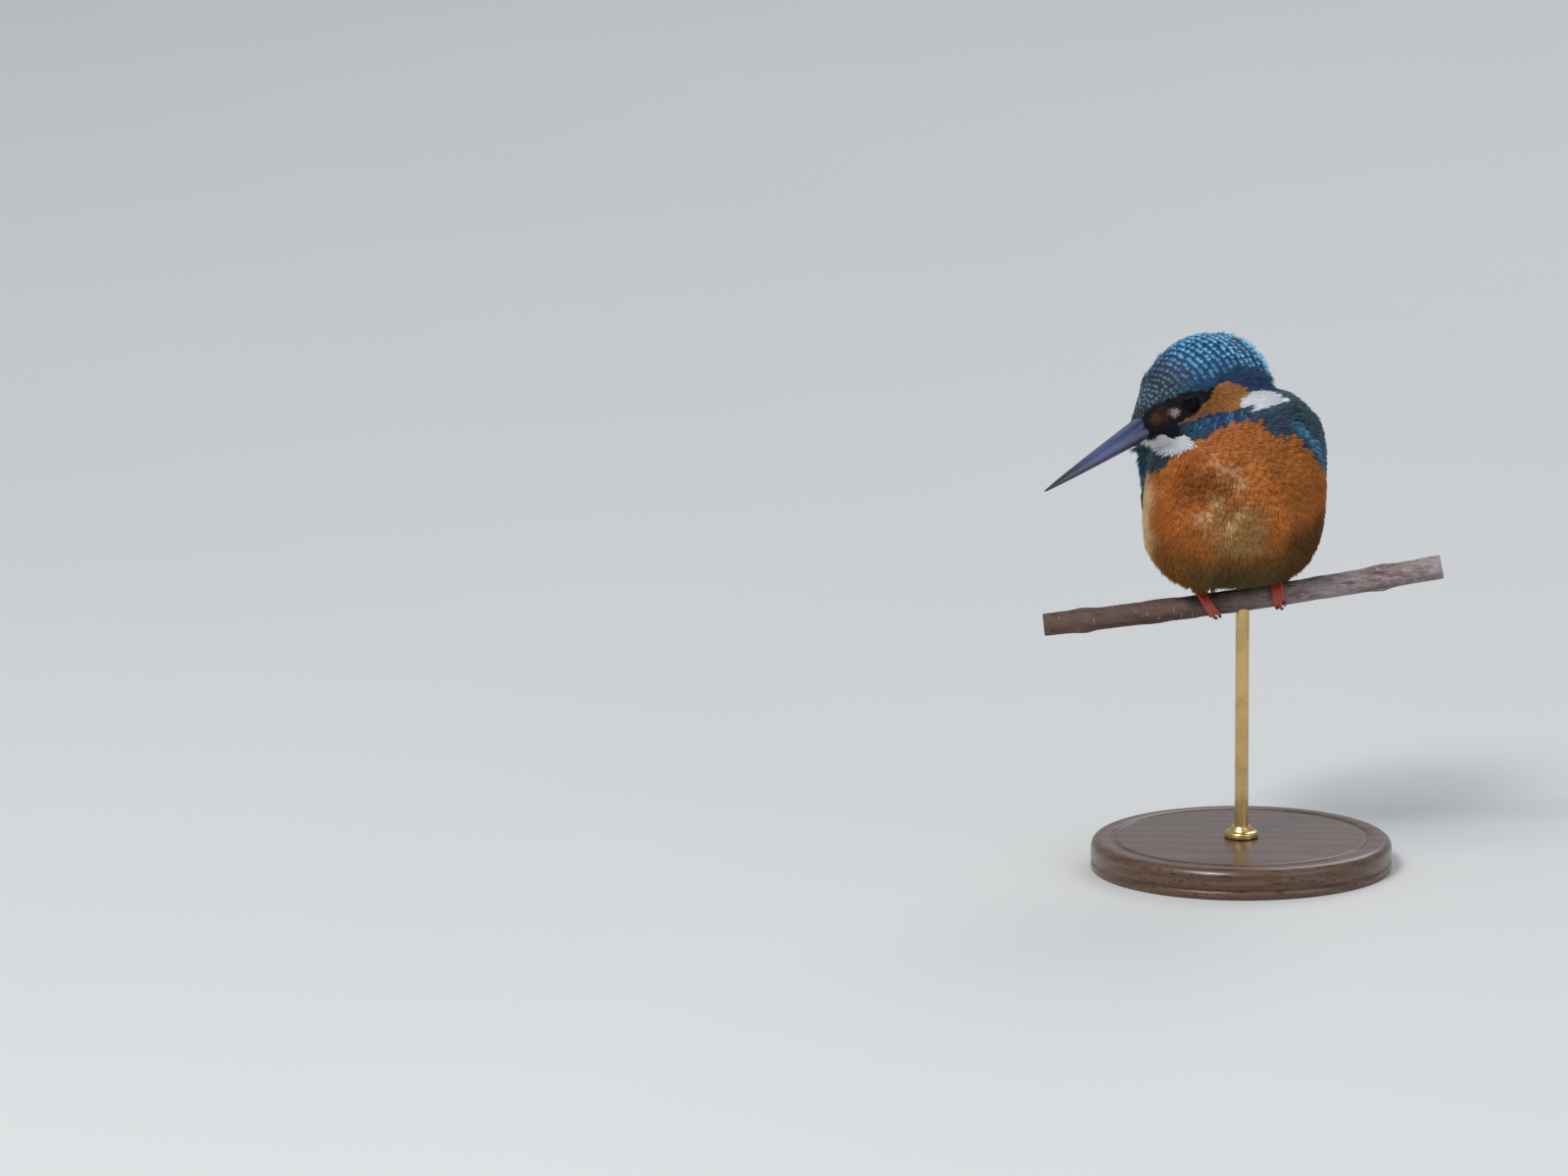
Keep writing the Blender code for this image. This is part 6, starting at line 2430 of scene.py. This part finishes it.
        growth = Growth(Tract.BREAST, 0.84, 5.2, 2.1, 9, swing=8, shade=0.06, stray=0.18, hang=2.0, flank=0.4)
        fields = {
            "coat_neck_front": up > 24,
            "coat_breast_left": (up <= 24) & (up > 2) & (left > 0),
            "coat_breast_right": (up <= 24) & (up > 2) & (left <= 0),
            "coat_belly_left": (up <= 2) & (left > 0),
            "coat_belly_right": (up <= 2) & (left <= 0),
        }
        for name, mask in fields.items():
            self.keep(name, growth, under[mask], self.loose, self.soft, "plumage_orange")
        self.wings()
        self.tail()
        for kind in (self.fine, self.scaled, self.loose, self.silky):
            kind.clear()
        return self.pieces

    def wings(self) -> None:
        """Long feathers and covert rows of both wings."""
        finish = QuillFinish("wing_quills").material()
        for side, sign in SIDES.items():
            piece = QuillPiece(f"wing_{side}_quills")
            Wing().quills(piece)
            made = piece.build(finish, mirrored=sign < 0)
            self.pieces.append(settle(made, "plumage_blue", f"wing_{side}"))
            parts = []
            for number, (places, length, breadth, height) in enumerate(Wing().coverts(sign)):
                growth = Growth(Tract.MANTLE, 1.0, length, breadth, 8, swing=3)
                plumes = self.coat.grow(growth, places, seed=200 + number)
                free = self.coat.ground.height(plumes.places + plumes.lies * plumes.lengths[:, None])
                plumes.curls = 2 * (free - height) / plumes.lengths**2
                count = len(places)
                lift = 1 + 0.15 * np.random.default_rng(number).standard_normal(count)
                plumes.tints = np.array(Pigment.COVERT) * lift[:, None]
                plumes.marks = np.array(Pigment.COVERT_SPOT) * lift[:, None]
                parts.append(plumes)
            names = Plumes.__dataclass_fields__
            whole = Plumes(*(np.concatenate([getattr(part, name) for part in parts]) for name in names))
            laid = self.coat.lay(f"wing_{side}_coverts", whole, self.scaled, self.spotted)
            self.pieces.append(settle(laid, "plumage_blue"))

    def tail(self) -> None:
        """The tail feathers."""
        piece = QuillPiece("tail_quills")
        TAIL.quills(piece)
        made = piece.build(QuillFinish("tail_quill_vanes", rim=0.4).material())
        self.pieces.append(settle(made, "plumage_blue", "tail"))


# ---------------------------------------------------------------- studio


@dataclass(frozen=True)
class FloorFinish(Finish):
    """A matt pale floor, slightly clouded."""

    name: str = "pale_floor"

    def inputs(self, sheet: Sheet) -> dict[str, object]:
        """A faint cloud over one pale grey."""
        cloud = sheet.noise(sheet.place(), 3.0, 4.0)
        return {
            "Base Color": sheet.blend(cloud, (0.62, 0.62, 0.61, 1), (0.66, 0.66, 0.65, 1)),
            "Roughness": 0.85,
        }


@dataclass(frozen=True)
class Studio:
    """A pale floor, soft lights, and a distant camera a little above the bird."""

    elevation: float = math.radians(12)
    lens: float = 400.0
    sensor: float = 36.0
    view_width: float = 0.45714  # width of the view at the perch, in metres
    aim: tuple[float, float] = (-0.1337, 0.0034)  # the view's middle from the perch's, to the right and up

    def floor(self) -> None:
        """A wide pale disc."""
        form = bmesh.new()
        bmesh.ops.create_circle(form, cap_ends=True, segments=96, radius=12.0)
        floor = from_form("floor", form)
        floor.data.materials.append(FloorFinish().material())

    def light(self, name: str, place: Sequence[float], size: float, power: float, colour: Colour) -> None:
        """A soft round lamp aimed at the bird."""
        lamp = bpy.data.lights.new(name, "AREA")
        lamp.shape = "DISK"
        lamp.size = size
        lamp.energy = power
        lamp.color = colour
        made = linked(name, lamp)
        made.location = place
        made.rotation_euler = (Vector((0, 0, 0.12)) - Vector(place)).to_track_quat("-Z", "Y").to_euler()

    def build(self) -> None:
        """Builds the floor, the lights, the surroundings and the camera."""
        self.floor()
        self.light("key", (-0.9, -1.1, 1.9), 1.2, 20.0, (1.0, 0.98, 0.95))
        self.light("catch", (-0.75, -1.35, 1.65), 0.42, 14.0, (0.95, 0.98, 1.0))
        self.light("fill", (1.6, -1.4, 1.0), 1.6, 9.0, (0.92, 0.96, 1.0))
        self.light("back", (0.6, 1.6, 1.6), 1.4, 12.0, (1.0, 1.0, 1.0))
        world = bpy.data.worlds.new("studio")
        world.use_nodes = True
        Sheet(world.node_tree).feed(world.node_tree.nodes["Background"], {0: (0.80, 0.86, 0.95, 1), 1: 0.45})
        scene = bpy.context.scene
        scene.world = world
        scene.view_settings.view_transform = "Standard"
        camera = linked("camera", bpy.data.cameras.new("camera"))
        camera.data.lens = self.lens
        camera.data.sensor_width = self.sensor
        away = Vector((0, -math.cos(self.elevation), math.sin(self.elevation)))
        over = Vector((0, math.sin(self.elevation), math.cos(self.elevation)))
        middle = Vector(POSE.over_perch((0, 0, 0)) * MM)
        aim = middle + Vector((self.aim[0], 0, 0)) + over * self.aim[1]
        camera.location = aim + away * (self.view_width * self.lens / self.sensor)
        camera.rotation_euler = (-away).to_track_quat("-Z", "Y").to_euler()
        camera.data.clip_end = 40.0
        scene.camera = camera


def main() -> None:
    """Builds the studio, the stand and the bird, and reports each piece."""
    Studio().build()
    pieces = Stand().build()
    pieces.append(PERCH.build())
    pieces += Bill().build() + Eyeballs().build() + Claws().build()
    skin = Skin().build()
    pieces += Plumage(skin).build()
    pieces.append(settle(skin, "leg_skin", "head", "neck", "trunk", "leg_left", "leg_right"))
    total = 0
    for piece in pieces:
        total += triangles(piece)
        log.info("%s: %d triangles", piece.name, triangles(piece))
    log.info("%d pieces, %d triangles", len(pieces), total)


if __name__ == "__main__":
    logging.basicConfig(level=logging.INFO, format="%(message)s")
    main()
